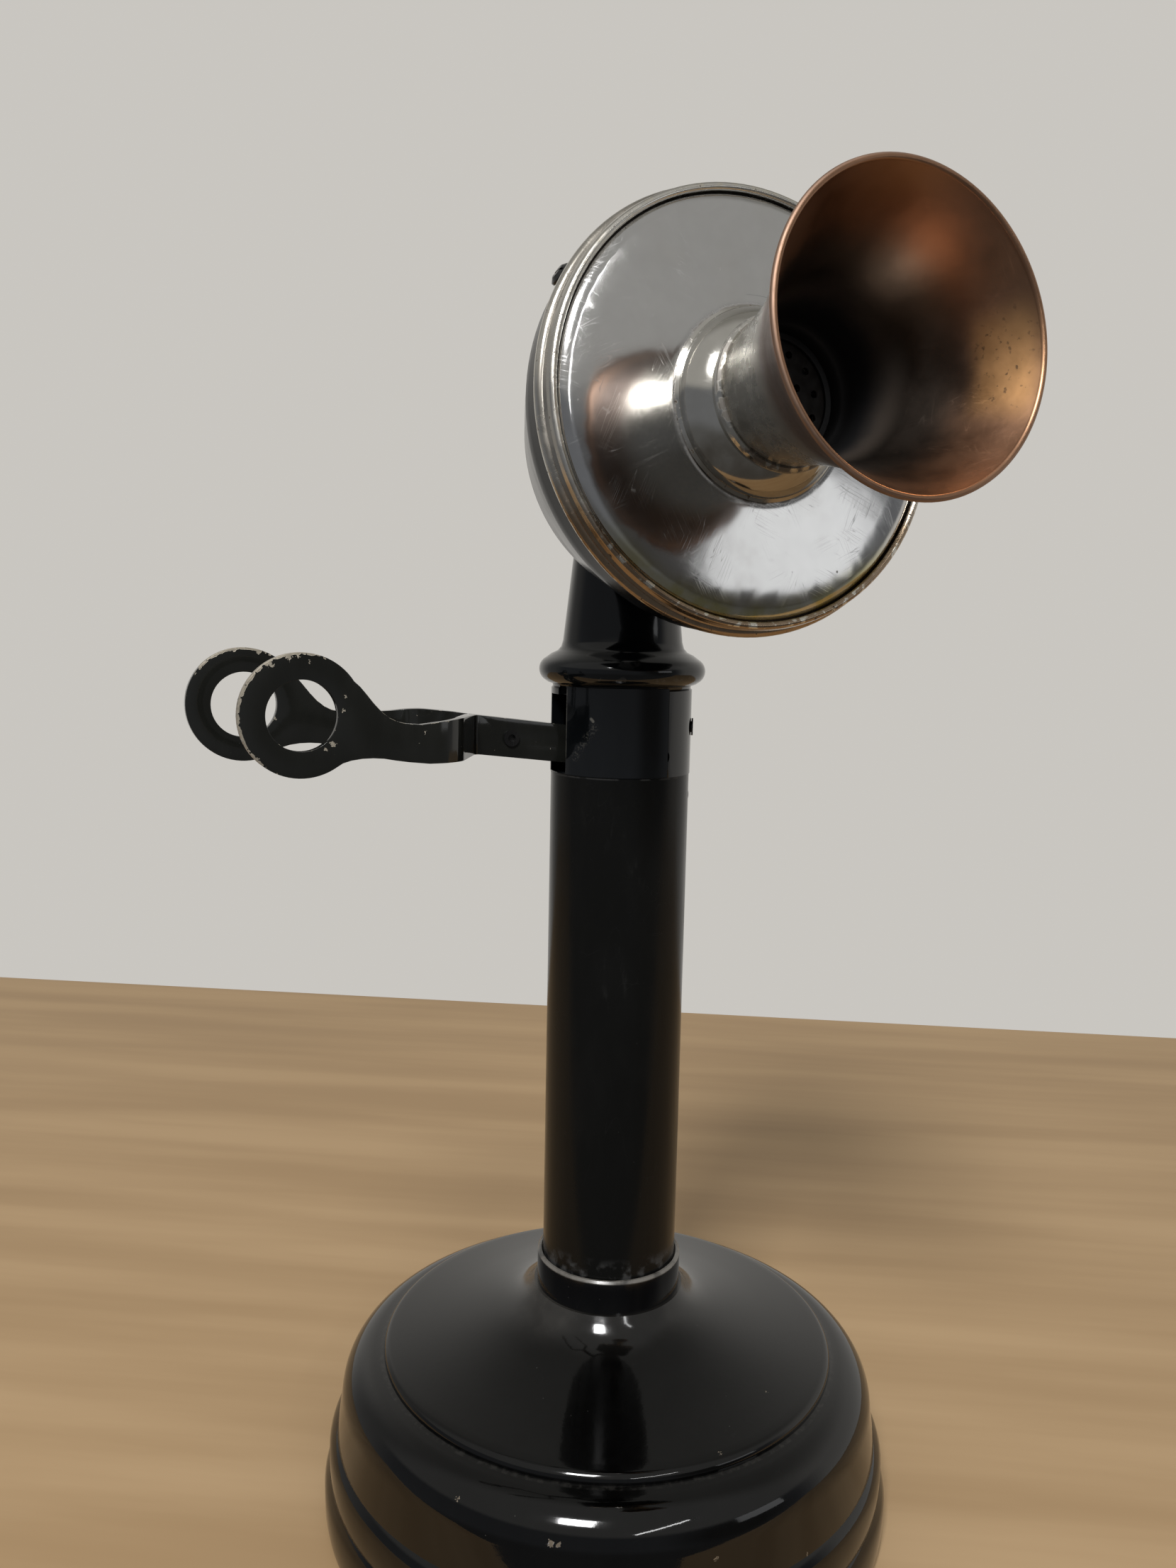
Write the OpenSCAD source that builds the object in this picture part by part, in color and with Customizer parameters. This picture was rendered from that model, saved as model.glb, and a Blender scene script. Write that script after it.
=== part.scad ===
// Desk stand telephone: weighted round base, tubular stem, head with a switch hook,
// and a tilting transmitter with a flared mouthpiece.
// Origin on the stem's axis at the foot of the base, transmitter towards -Y,
// switch hook towards -X, +Z up. Millimetres.

/* [Base] */
// Radius of the base at its lowest roll
base_r = 68.3; // [62:0.5:80]
// Thickness of the drawn base shell
base_wall = 1.5; // [1:0.1:2]
// Height of the roll at the top of the base's side
base_roll_z = 40.3; // [36:0.5:48]
// Radius of that roll's crest
base_roll_r = 53.3; // [48:0.1:54]
// Radius of the rounded shoulder outside the roll
base_shoulder_r = 9.2; // [6:0.1:10]
// Height of the flat top where the stem stands
base_top_z = 54; // [50:0.5:62]
// Radius of the base's flat top
base_top_r = 18; // [17.6:0.1:20]
// Height of the lower step in the side
step_low_z = 11; // [8:0.5:14]
// Height of the upper step in the side
step_high_z = 20.3; // [17:0.1:24]
// Thickness of the felt under the base
felt_t = 2; // [1:0.5:4]
// Thickness of the steel bottom plate
plate_t = 1.5; // [1:0.1:2.5]
// Height of the cast ballast ring
ballast_h = 12; // [8:0.5:18]
// Inner radius of the ballast ring
ballast_hole_r = 24; // [20:0.5:30]
// Radius of the circle of bottom screws
bottom_screw_circle_r = 45; // [40:0.5:47]
// Thread radius of a bottom screw
bottom_screw_r = 2.4; // [1.5:0.1:3]

/* [Cord holes] */
// Bore radius of each cord bushing
cord_bore_r = 2.6; // [2:0.1:3.5]
// Outer radius of a bushing's neck
bushing_r = 4.4; // [4:0.1:5.5]
// Outer radius of a bushing's flange
bushing_flange_r = 6.2; // [5.8:0.1:8]
// Height of the cord holes
cord_hole_z = 24.4; // [24:0.1:26]
// Angle of each cord hole from the middle of the back
cord_hole_angle = 13; // [9:1:25]

/* [Stem] */
// Outer radius of the stem tube
stem_r = 16; // [14:0.1:16.4]
// Wall of the stem tube
stem_wall = 1.6; // [1:0.1:2]
// Height of the top of the stem tube
stem_top_z = 179.2; // [150:1:220]
// Radial thickness of the foot collar
collar_t = 1.3; // [1:0.1:1.5]
// Height of the foot collar
collar_h = 8; // [5:0.5:12]
// Radius of the threaded end that passes through the base
stud_r = 9; // [8:0.1:11]

/* [Head] */
// Outer radius of the head sleeve
head_r = 16.2; // [16:0.1:16.8]
// Height of the sleeve from the stem up to the bead
sleeve_h = 20; // [19:0.5:24]
// Radius of the bead around the head
bead_r = 19.1; // [18.5:0.1:21]
// Height of that bead
bead_h = 7; // [5:0.5:9]
// Radius of the neck just above the bead
neck_low_r = 13.7; // [13:0.1:14.2]
// Radius of the neck at its top
neck_top_r = 11.4; // [10.8:0.1:12]
// Height of the neck's top above the bead
neck_h = 24; // [22:0.5:30]
// Wall of the neck
neck_wall = 2; // [1.5:0.1:3]
// Thickness of the curved cover plate
cover_t = 1.1; // [0.8:0.1:1.4]
// Angle that the cover plate spans
cover_span = 89.5; // [80:0.5:92]

/* [Switch hook] */
// Thickness of each half of the hook
hook_t = 2; // [1.6:0.1:2.2]
// Height of the hook's bar
hook_bar_h = 8.4; // [7.5:0.1:9]
// Slope of the bar inside the head
hook_slope = 6.7; // [5:0.1:8]
// Outer half width of the fork
fork_half_w = 17.6; // [15:0.1:20]
// Distance of the front eye from the stem's axis
front_reach = 77.1; // [74:0.1:90]
// Distance of the rear eye from the stem's axis
rear_reach = 82.5; // [74:0.1:90]
// Height of the eyes' centres above the hook's pivot
eye_rise = 10.4; // [9.2:0.1:11.2]
// Outer radius of an eye
eye_r = 12.2; // [11:0.1:13]
// Hole radius of an eye
eye_hole_r = 7; // [6.5:0.1:8.5]
// Distance from the axis where the halves part
fork_root = 35.4; // [33:0.1:38]
// Angle at which the halves part
fork_angle = 61; // [50:1:70]
// Height of the hook's pivot above the stem's top
hook_pivot_h = 4.6; // [4:0.1:5.2]
// Distance of the pivot behind the stem's axis
hook_pivot_x = 3; // [2:0.1:4]
// Radius of the pivot pin
hook_pin_r = 1.6; // [1.2:0.1:2]
// Width of the slot for the hook
slot_w = 8.4; // [8:0.1:9]
// Height of the slot for the hook
slot_h = 17.6; // [17:0.1:18]

/* [Transmitter] */
// Height of the tilt pivot above the neck
tilt_pivot_h = 17.3; // [14:0.1:24]
// Tilt of the transmitter above level
tilt_rest = 6.5; // [0:0.5:12]
// Distance from the pivot to the back of the cup
cup_back = 14; // [13.6:0.1:16]
// Distance from the pivot to the rim of the cup
cup_rim = 46.4; // [45:0.1:50]
// Outer radius of the cup at its rim
cup_r = 41.4; // [39:0.1:44]
// Outer radius of the cup where its back turns into the side
cup_back_r = 32; // [30:0.5:34]
// Rounding between the back and the side
cup_round = 7; // [5:0.5:8]
// Wall of the cup
cup_wall = 1.2; // [0.8:0.1:1.6]
// Radius of the bezel's outer bead
bezel_r = 42.4; // [42:0.1:45]
// Inner radius of the bezel around the faceplate
bezel_in_r = 39.8; // [38:0.1:39.9]
// Distance from the pivot to the front of the bezel
bezel_front = 53.6; // [53:0.1:58]
// Thickness of the faceplate
face_t = 1.2; // [0.9:0.1:1.8]
// Rise of the faceplate from its rim to the boss
face_rise = 1.6; // [1:0.1:3]
// Base radius of the boss
boss_r = 18; // [17:0.1:20]
// Height of the boss over the faceplate
boss_h = 9; // [8:0.1:11]
// Radius of the mouthpiece where it leaves the boss
throat_out_r = 14; // [13.5:0.1:14.5]
// Radius of the mouthpiece's open end
mouth_r = 26.4; // [22:0.1:30]
// Length of the mouthpiece in front of the boss
mouth_len = 35.8; // [30:0.1:42]
// Wall of the mouthpiece
mouth_wall = 0.9; // [0.7:0.1:1.2]
// Number of sound holes in the grille
sound_holes = 12; // [8:1:14]
// Radius of a sound hole
sound_hole_r = 0.7; // [0.5:0.05:0.9]
// Radius of the tilt bolt
tilt_bolt_r = 2.5; // [2:0.1:3]

/* [Hidden] */
$fn = 96;

run_gap = 0.05;   // radial clearance of a running fit
slip_gap = 0.1;   // radial clearance of a screw or a slipped-in piece
seat_gap = 0.3;   // clearance between curved faces of different bodies
eps = 0.01;       // overlap that keeps a cut through clean

// points on an arc about c, radius r, from angle a to angle b
function arc(c, r, a, b, n = 8) =
    [for (i = [0:n]) let (t = a + (b - a) * i / n) c + r * [cos(t), sin(t)]];
function flip(list) = [for (i = [len(list) - 1:-1:0]) list[i]];

module turned(points) { rotate_extrude() polygon(points); }
module ring(r_out, r_in, z, h) {
    translate([0, 0, z]) difference() {
        cylinder(r = r_out, h = h);
        translate([0, 0, -eps]) cylinder(r = r_in, h = h + 2 * eps);
    }
}

// ---- base ----
shell_z = 0.6;
plate_z = felt_t;
ballast_z = plate_z + plate_t;
ballast_top = ballast_z + ballast_h;
shoulder_c = [base_roll_r + 1.6, base_roll_z - 2 - base_shoulder_r];
side_top_r = shoulder_c[0] + base_shoulder_r;

// outline of the shell, moved inwards by d
function side_line(d) = concat(
    [[base_r - 0.4 - d, shell_z], [base_r - d, shell_z + 2.4], [base_r - d, step_low_z - 2.6],
     [base_r - 0.5 - d, step_low_z - 1.2], [base_r - 1.3 - d, step_low_z - d / 2],
     [base_r - 1.2 - d, step_low_z + 1.4], [base_r - 1.2 - d, step_high_z - 2.8],
     [base_r - 1.9 - d, step_high_z - 1.1], [base_r - 3 - d, step_high_z - d / 2],
     [base_r - 3.2 - d, step_high_z + 1.6]],
    arc(shoulder_c, base_shoulder_r - d, 2, 88, 10));
// the cone's edge rolls over and drops to the shoulder
roll_line = arc([base_roll_r - 1, base_roll_z - 1.47], 2, -8, 79.8, 8);
// the cone is nearly flat by its edge and sweeps up towards the stem: distance, height and slope
cone_steps = [[14, -8.6, 16], [10.8, -7.6, 19], [7.6, -6.4, 23], [5.4, -5.35, 29], [3.5, -4.15, 36],
    [2, -2.8, 46], [0.9, -1.3, 56]];
function top_line(d) = concat([[base_roll_r - 2.3, base_roll_z + 0.8 - d], [base_roll_r - 4.5, base_roll_z + 1.2 - d],
    [base_roll_r - 8.6, base_roll_z + 2 - d], [base_roll_r - 13.3, base_roll_z + 3 - d],
    [base_roll_r - 17.7, base_roll_z + 4.1 - d]],
    [for (p = cone_steps) [base_top_r + p[0] - d * sin(p[2]), base_top_z + p[1] - d * cos(p[2])]],
    [[base_top_r - 0.6 * d, base_top_z - d]]);
function shell_line(d) = concat(side_line(d), d > 0 ? [] : roll_line, top_line(d));

stud_hole_r = stud_r + slip_gap;

module shell_solid(d) {
    line = shell_line(d);
    turned(concat([[0, shell_z]], line, [[0, base_top_z - d]]));
}
module bottom_screw_places() {
    for (k = [0:2]) rotate(30 + 120 * k) translate([bottom_screw_circle_r, 0, 0]) children();
}
module cord_place(side) {
    rotate([0, 0, 90 + side * cord_hole_angle]) translate([0, 0, cord_hole_z]) rotate([0, 90, 0]) children();
}
post_r = 4.5;
screw_tip_z = ballast_top + 10;

module base_shell() {
    color("#15161a") difference() {
        union() {
            turned(concat(shell_line(0), [[stud_hole_r, base_top_z]],
                [[stud_hole_r, base_top_z - base_wall]], flip(shell_line(base_wall))));
            intersection() {
                translate([0, 0, ballast_top]) bottom_screw_places() cylinder(r = post_r, h = base_top_z);
                shell_solid(base_wall / 2);
            }
        }
        bottom_screw_places() cylinder(r = bottom_screw_r + slip_gap, h = screw_tip_z + 1);
        for (side = [-1, 1]) cord_place(side) translate([0, 0, bushing_face - bushing_len - 1])
            cylinder(r = bushing_r + slip_gap, h = 2 * bushing_len);
    }
}
module base_plate() {
    color("#6b6d70") translate([0, 0, plate_z]) difference() {
        cylinder(r = base_r - base_wall - 0.8, h = plate_t);
        bottom_screw_places() translate([0, 0, -eps]) cylinder(r = bottom_screw_r + slip_gap, h = plate_t + 1);
    }
}
bottom_head_r = 4.4;
bottom_head_h = 1.2;
module base_felt() {
    color("#2f3a2c") difference() {
        cylinder(r = base_r - base_wall - 1.6, h = felt_t);
        bottom_screw_places() translate([0, 0, -eps]) cylinder(r = bottom_head_r + 0.5, h = felt_t + 1);
    }
}
module base_ballast() {
    color("#2a2b2d") difference() {
        ring(base_r - base_wall - 6, ballast_hole_r, ballast_z, ballast_h);
        bottom_screw_places() cylinder(r = bottom_screw_r + slip_gap, h = ballast_top + 1);
    }
}
module base_screws() {
    color("#8a8c8f") bottom_screw_places() difference() {
        union() {
            translate([0, 0, plate_z - bottom_head_h]) cylinder(r = bottom_head_r, h = bottom_head_h);
            translate([0, 0, plate_z]) cylinder(r = bottom_screw_r, h = screw_tip_z - plate_z);
        }
        translate([-bottom_head_r, -0.45, plate_z - bottom_head_h - eps]) cube([2 * bottom_head_r, 0.9, 0.7]);
    }
}

// ---- cord bushings ----
bushing_face = base_r - 1.6;
bushing_len = 9;
module cord_bushing(side) {
    color("#101010") difference() {
        union() {
            cord_place(side) translate([0, 0, bushing_face - bushing_len]) cylinder(r = bushing_r, h = bushing_len);
            difference() {
                cord_place(side) translate([0, 0, bushing_face - 8]) cylinder(r = bushing_flange_r, h = 8);
                shell_solid(-seat_gap);
            }
        }
        cord_place(side) translate([0, 0, bushing_face - 20]) cylinder(r = cord_bore_r, h = 30);
    }
}
module line_cord_bushing() { cord_bushing(1); }
module receiver_cord_bushing() { cord_bushing(-1); }

// ---- terminal block on the ballast ring ----
block_w = 40;
block_d = 13;
block_h = 8;
block_edge = 22.3;
block_y = base_r - block_edge - block_d;
terminal_count = 4;
terminal_pitch = 9.5;
terminal_r = 1.6;
module terminal_places() {
    for (k = [0:terminal_count - 1])
        translate([(k - (terminal_count - 1) / 2) * terminal_pitch, block_y + block_d / 2, ballast_top])
            children();
}
module terminal_block() {
    color("#5a2f1c") difference() {
        translate([-block_w / 2, block_y, ballast_top]) cube([block_w, block_d, block_h]);
        terminal_places() translate([0, 0, 2]) cylinder(r = terminal_r + slip_gap, h = block_h);
    }
}
module terminal_screws() {
    color("#b08d3a") terminal_places() difference() {
        union() {
            translate([0, 0, 3]) cylinder(r = terminal_r, h = block_h - 3);
            translate([0, 0, block_h]) cylinder(r = 3.4, h = 0.8);
            translate([0, 0, block_h + 0.8]) cylinder(r = 2.8, h = 1.9);
        }
        translate([-3, -0.35, block_h + 1.8]) cube([6, 0.7, 1]);
    }
}

// ---- stem ----
stem_in_r = stem_r - stem_wall;
foot_h = 20;
nut_af = 27;
nut_h = 6;
washer_t = 1.6;
washer_z = base_top_z - base_wall - washer_t;
foot_bore_r = 6;
module stem_tube() {
    color("#17181b") difference() {
        ring(stem_r, stem_in_r, base_top_z, stem_top_z - base_top_z);
        head_screw_places() cylinder(r = head_screw_r + slip_gap, h = stem_r + 2);
    }
}
module stem_foot() {
    color("#77746c") difference() {
        union() {
            translate([0, 0, base_top_z]) cylinder(r = stem_in_r - 0.02, h = foot_h);
            translate([0, 0, washer_z - nut_h - 1.5]) cylinder(r = stud_r, h = base_top_z - washer_z + nut_h + 2);
        }
        translate([0, 0, washer_z - nut_h - 3]) cylinder(r = foot_bore_r, h = foot_h + 30);
    }
}
module stem_washer() {
    color("#8f8f8c") ring(stud_r + 7, stud_hole_r, washer_z, washer_t);
}
module stem_nut() {
    color("#8a8a86") translate([0, 0, washer_z - nut_h]) difference() {
        cylinder(r = nut_af / 2 / cos(30), h = nut_h, $fn = 6);
        translate([0, 0, -eps]) cylinder(r = stud_r + run_gap, h = nut_h + 2 * eps);
    }
}
module foot_collar() {
    in_r = stem_r + slip_gap;
    out_r = in_r + collar_t - slip_gap;
    color("#1a1b1e") turned([[in_r, base_top_z], [out_r, base_top_z], [out_r, base_top_z + collar_h - 0.5],
        [out_r - 0.4, base_top_z + collar_h], [in_r + 0.3, base_top_z + collar_h], [in_r, base_top_z + collar_h - 0.6]]);
}

// ---- head ----
sleeve_z = stem_top_z;
sleeve_top = sleeve_z + sleeve_h;
bead_top = sleeve_top + bead_h;
neck_top = bead_top + neck_h;
head_wall = 3;
head_in_r = head_r - head_wall;
neck_in_r = neck_top_r - neck_wall;
hook_pivot_z = stem_top_z + hook_pivot_h;
eye_z = hook_pivot_z + eye_rise;
tilt_pivot_z = neck_top + tilt_pivot_h;
spigot_r = stem_in_r - run_gap;
spigot_wall = 1.9;
spigot_len = 11;
spigot_in_r = spigot_r - spigot_wall;
lug_half_t = 4;
lug_r = 6.5;
slot_z = sleeve_z + 0.2;
window_z = sleeve_z + 3.3;
window_h = slot_z + slot_h - 0.5 - window_z;
cover_z = sleeve_z + 0.1;
cover_h = sleeve_h - 0.4;
slot_half_angle = asin(slot_w / 2 / head_r);
cover_start = 180 + slot_half_angle;
head_bore_r = hook_pin_r + 0.02;
head_screw_r = 1.5;
head_screw_z = sleeve_z - 6;
side_screw_angle = -30;
side_screw_z = sleeve_z + 10.6;
side_screw_r = 1.3;

// a wedge from angle a over a span, out to radius r
module wedge(a, span, r, z, h) {
    steps = 6;
    translate([0, 0, z]) linear_extrude(h)
        polygon(concat([[0, 0]], [for (i = [0:steps]) let (t = a + span * i / steps) 2 * r * [cos(t), sin(t)]]));
}
module hook_pin_line(r, y0, y1) {
    translate([hook_pivot_x, y0, hook_pivot_z]) rotate([-90, 0, 0]) cylinder(r = r, h = y1 - y0);
}
stop_x = hook_pivot_x + 5.2;
stop_r = 1.4;
stop_drop = (hook_bar_h / 2 + stop_r + seat_gap) / cos(hook_slope) + (stop_x - hook_pivot_x) * tan(hook_slope);
stop_z = hook_pivot_z - stop_drop;
module hook_stop_line(r, y0, y1) {
    translate([stop_x, y0, stop_z]) rotate([-90, 0, 0]) cylinder(r = r, h = y1 - y0);
}
stop_front_y = -2.2;
stop_back_y = sqrt(pow(spigot_r, 2) - pow(stop_x + stop_r, 2)) - slip_gap;
spring_seat_z = sleeve_z - spigot_len + 1;
spring_x = -8;
module head_outline() {
    bead_c = [bead_r - 3, sleeve_top + 3.3];
    turned(concat(
        [[0, sleeve_z], [head_r, sleeve_z], [head_r, sleeve_top - 0.9], [head_r - 0.35, sleeve_top - 0.5],
         [head_r - 0.2, sleeve_top], [head_r + 0.9, sleeve_top + 0.35]],
        arc(bead_c, 3, -62, 62, 10),
        [[neck_low_r + 2.6, bead_top - 0.15], [neck_low_r + 1.2, bead_top + 0.5], [neck_low_r + 0.4, bead_top + 1.4],
         [neck_low_r, bead_top + 2.8], [neck_top_r, neck_top], [neck_top_r - 0.9, neck_top + 3],
         [neck_top_r - 3, neck_top + 5.5], [neck_top_r - 6.5, neck_top + 7], [0, neck_top + 7.4]]));
}
module head_screw_places() {
    for (a = [0, 75]) rotate(a) translate([0, 0, head_screw_z]) rotate([0, 90, 0]) children();
}
module side_screw_place() {
    rotate(side_screw_angle) translate([0, 0, side_screw_z]) rotate([0, 90, 0]) children();
}
module head_casting() {
    color("#16171a") difference() {
        union() {
            difference() {
                union() {
                    head_outline();
                    translate([0, 0, sleeve_z - spigot_len]) cylinder(r = spigot_r, h = spigot_len + 1);
                }
                translate([0, 0, sleeve_z - spigot_len - 1]) cylinder(r = spigot_in_r, h = spigot_len + 2);
                translate([0, 0, sleeve_z]) cylinder(r = head_in_r, h = sleeve_h - 1.5);
                translate([0, 0, sleeve_z]) cylinder(r = neck_in_r, h = neck_top - sleeve_z);
            }
            translate([-lug_half_t, -lug_r, neck_top + 2])
                cube([2 * lug_half_t, 2 * lug_r, tilt_pivot_z - neck_top - 2]);
            translate([-lug_half_t, 0, tilt_pivot_z]) rotate([0, 90, 0]) cylinder(r = lug_r, h = 2 * lug_half_t);
            intersection() {
                translate([-spigot_r, -4, spring_seat_z - 2]) cube([spigot_r + spring_x + 4, 8, 2]);
                cylinder(r = spigot_r - 0.5, h = sleeve_z);
            }
        }
        // tilt bolt, hook pin, stop pin and screws
        translate([-lug_half_t - 1, 0, tilt_pivot_z]) rotate([0, 90, 0])
            cylinder(r = tilt_bolt_r + run_gap, h = 2 * lug_half_t + 2);
        hook_pin_line(head_bore_r, -head_r + 0.4, head_r + 1);
        hook_stop_line(stop_r + 0.02, stop_front_y, spigot_r);
        head_screw_places() cylinder(r = head_screw_r + slip_gap, h = head_r + 2);
        side_screw_place() cylinder(r = side_screw_r + slip_gap, h = head_r + 2);
        // slot for the hook
        translate([-head_r - 3, -slot_w / 2, slot_z]) cube([head_r, slot_w, slot_h]);
        // seat and window of the cover plate
        difference() {
            wedge(cover_start - 12, cover_span + 12.3, head_r, cover_z - 0.05, cover_h + 0.1);
            cylinder(r = head_r - cover_t - slip_gap, h = bead_top);
        }
        difference() {
            wedge(cover_start + 6, cover_span - 14, head_r, window_z, window_h);
            cylinder(r = 5, h = bead_top);
            translate([0, 0, window_z + window_h - eps]) cylinder(r = head_r + 2, h = 20);
        }
        // way for the leads out of the neck
        translate([0, 0, neck_top - 3]) rotate([-62, 0, 0]) cylinder(r = 2.2, h = 20);
    }
}
module head_cover() {
    color("#16171a") intersection() {
        union() {
            ring(head_r, head_r - cover_t, cover_z, cover_h);
            intersection() {
                ring(head_r - 0.5, head_r - cover_t - 1.2, window_z + seat_gap, window_h - 2 * seat_gap);
                wedge(cover_start + 8, cover_span - 18, head_r, window_z, window_h);
            }
        }
        wedge(cover_start, cover_span, head_r, cover_z - 1, cover_h + 2);
    }
}
module head_screws() {
    color("#1c1c1e") head_screw_places() difference() {
        union() {
            translate([0, 0, spigot_in_r + 0.2]) cylinder(r = head_screw_r, h = stem_r - spigot_in_r);
            translate([0, 0, stem_r + 0.1]) cylinder(r = 2.6, h = 0.9);
        }
        translate([-3, -0.3, stem_r + 0.6]) cube([6, 0.6, 1]);
    }
}
side_screw_in = 11.7;
module side_screw() {
    color("#1c1c1e") side_screw_place() difference() {
        union() {
            translate([0, 0, side_screw_in]) cylinder(r = side_screw_r, h = head_r - side_screw_in + 0.3);
            translate([0, 0, head_r + 0.1]) cylinder(r = 2, h = 0.35);
        }
        translate([-3, -0.25, head_r + 0.25]) cube([6, 0.5, 1]);
    }
}
module hook_pivot_pin() {
    color("#8b8b88") hook_pin_line(hook_pin_r, -head_r + 2.2, head_r - 0.9);
}
module hook_stop_pin() {
    color("#8b8b88") hook_stop_line(stop_r, stop_front_y, stop_back_y);
}

// ---- switch hook ----
// drawn with +X away from the stem and +Y towards the transmitter's side
bar_mid_z = hook_pivot_z + (fork_root + hook_pivot_x) * tan(hook_slope);
bend_in_r = 2.5;
bend_out_r = 7;
leg_len = (fork_half_w - hook_t - (bend_in_r + bend_out_r) * (1 - cos(fork_angle))) / sin(fork_angle);
leg_end = fork_root + (bend_in_r + bend_out_r) * sin(fork_angle) + leg_len * cos(fork_angle);
hook_tail = 7.4;

// the halves' path seen from above: tail, bend, leg, bend, prong; o is the face's offset
function fork_line(o, reach) = concat(
    [[-hook_tail, hook_t / 2 + o]],
    arc([fork_root, hook_t / 2 + bend_in_r], bend_in_r - o, -90, fork_angle - 90, 6),
    arc([leg_end, fork_half_w - hook_t / 2 - bend_out_r], bend_out_r + o, fork_angle + 90, 90, 8),
    [[reach + eye_r, fork_half_w - hook_t / 2 + o]]);

// the halves' outline seen from the side
prong_top = bar_mid_z + hook_bar_h / 2;
prong_low = bar_mid_z - hook_bar_h / 2;
module side_outline(reach) {
    c = [reach, eye_z];
    a_top = 147;
    a_low = 236;
    tail_z = hook_pivot_z + (hook_pivot_x - hook_tail) * tan(hook_slope);
    polygon(concat([[-hook_tail, tail_z + hook_bar_h / 2], [fork_root, prong_top + 0.1], [fork_root + 4, prong_top + 0.5],
        [fork_root + 8.4, prong_top + 0.6], [fork_root + 11.2, prong_top + 0.35], [fork_root + 14.4, prong_top]],
        [for (p = [[11.7, -2.1], [8.5, -1.8], [6.7, -1.35], [5.1, -0.6], [3.5, 0.65], [1.9, 2.35], [0.5, 4.1], [-0.8, 5.6]])
            c + [-eye_r - p[0], p[1]]],
        [c + eye_r * [cos(a_top), sin(a_top)], c, c + eye_r * [cos(a_low), sin(a_low)]],
        [for (p = [[-4.3, -9.45], [-2.6, -8.95], [-0.4, -8.65], [1.8, -8.6], [4, -8.75], [6.2, -9.15], [9.2, -9.6]])
            c + [-eye_r - p[0], p[1]]],
        [[fork_root + 16, prong_low + 0.05], [fork_root + 9, prong_low + 0.1], [fork_root, prong_low - 0.1],
         [-hook_tail, tail_z - hook_bar_h / 2]]));
}
rivet_r = 1.2;
rivet_u = [27.9, 5];
function bar_z(u) = hook_pivot_z + (u + hook_pivot_x) * tan(hook_slope);
module rivet_line(u, r, w0, w1) {
    translate([u, w0, bar_z(u)]) rotate([-90, 0, 0]) cylinder(r = r, h = w1 - w0);
}
module hook_frame() { rotate([0, 0, 180]) children(); }
module hook_half(reach) {
    difference() {
        union() {
            intersection() {
                translate([0, 0, hook_pivot_z - 20]) linear_extrude(50)
                    polygon(concat(fork_line(hook_t / 2, reach - eye_r), flip(fork_line(-hook_t / 2, reach - eye_r))));
                translate([0, fork_half_w + 5, 0]) rotate([90, 0, 0]) linear_extrude(fork_half_w + 10)
                    side_outline(reach);
            }
            translate([reach, fork_half_w - hook_t, eye_z]) rotate([-90, 0, 0]) cylinder(r = eye_r, h = hook_t);
        }
        translate([reach, 0, eye_z]) rotate([-90, 0, 0]) cylinder(r = eye_hole_r, h = fork_half_w + 5);
        translate([-hook_pivot_x, -5, hook_pivot_z]) rotate([-90, 0, 0]) cylinder(r = hook_pin_r + run_gap, h = 10);
        for (u = rivet_u) rivet_line(u, rivet_r + 0.02, -5, 8);
    }
}
module hook_front_half() { color("#16171a") hook_frame() hook_half(front_reach); }
module hook_rear_half() { color("#16171a") hook_frame() mirror([0, 1, 0]) hook_half(rear_reach); }
arm_t = 1.6;
module hook_rivets() {
    color("#202124") hook_frame() {
        difference() {
            union() {
                rivet_line(rivet_u[0], rivet_r, -hook_t - 0.4, hook_t + 0.4);
                rivet_line(rivet_u[0], 1.8, hook_t, hook_t + 0.5);
                rivet_line(rivet_u[0], 1.8, -hook_t - 0.5, -hook_t);
            }
            rivet_line(rivet_u[0], 0.9, hook_t - 0.3, hook_t + 1);
        }
        rivet_line(rivet_u[1], rivet_r, -hook_t - 0.4, hook_t + arm_t + 0.4);
        rivet_line(rivet_u[1], 1.8, hook_t + arm_t, hook_t + arm_t + 0.5);
        rivet_line(rivet_u[1], 1.8, -hook_t - 0.5, -hook_t);
    }
}
arm_half_w = 2.4;
stud_u = -hook_pivot_x - 0.2;
roller_r = 2;
stud_pin_r = 1;
stud_z = hook_pivot_z - 15.3;
leaf_w = [4.2, 7.6];
module hook_arm() {
    color("#77787a") hook_frame() difference() {
        translate([0, hook_t + arm_t, 0]) rotate([90, 0, 0]) linear_extrude(arm_t) {
            translate([-hook_pivot_x, hook_pivot_z]) circle(r = 3.6);
            translate([rivet_u[1], bar_z(rivet_u[1])]) circle(r = 2.8);
            translate([-hook_pivot_x, hook_pivot_z - 2.4]) square([rivet_u[1] + hook_pivot_x, 5]);
            translate([stud_u - arm_half_w, stud_z]) square([2 * arm_half_w, hook_pivot_z - stud_z]);
            translate([stud_u, stud_z]) circle(r = arm_half_w);
        }
        translate([-hook_pivot_x, 0, hook_pivot_z]) rotate([-90, 0, 0]) cylinder(r = hook_pin_r + run_gap, h = 10);
        rivet_line(rivet_u[1], rivet_r + 0.02, 0, 8);
        translate([stud_u, 0, stud_z]) rotate([-90, 0, 0]) cylinder(r = stud_pin_r + 0.02, h = 10);
    }
}
module hook_arm_stud() {
    color("#241410") hook_frame() translate([stud_u, hook_t, stud_z]) rotate([-90, 0, 0]) {
        cylinder(r = stud_pin_r, h = arm_t + 1);
        translate([0, 0, arm_t]) cylinder(r = roller_r, h = leaf_w[1] - hook_t - arm_t - 0.4);
    }
}
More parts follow.
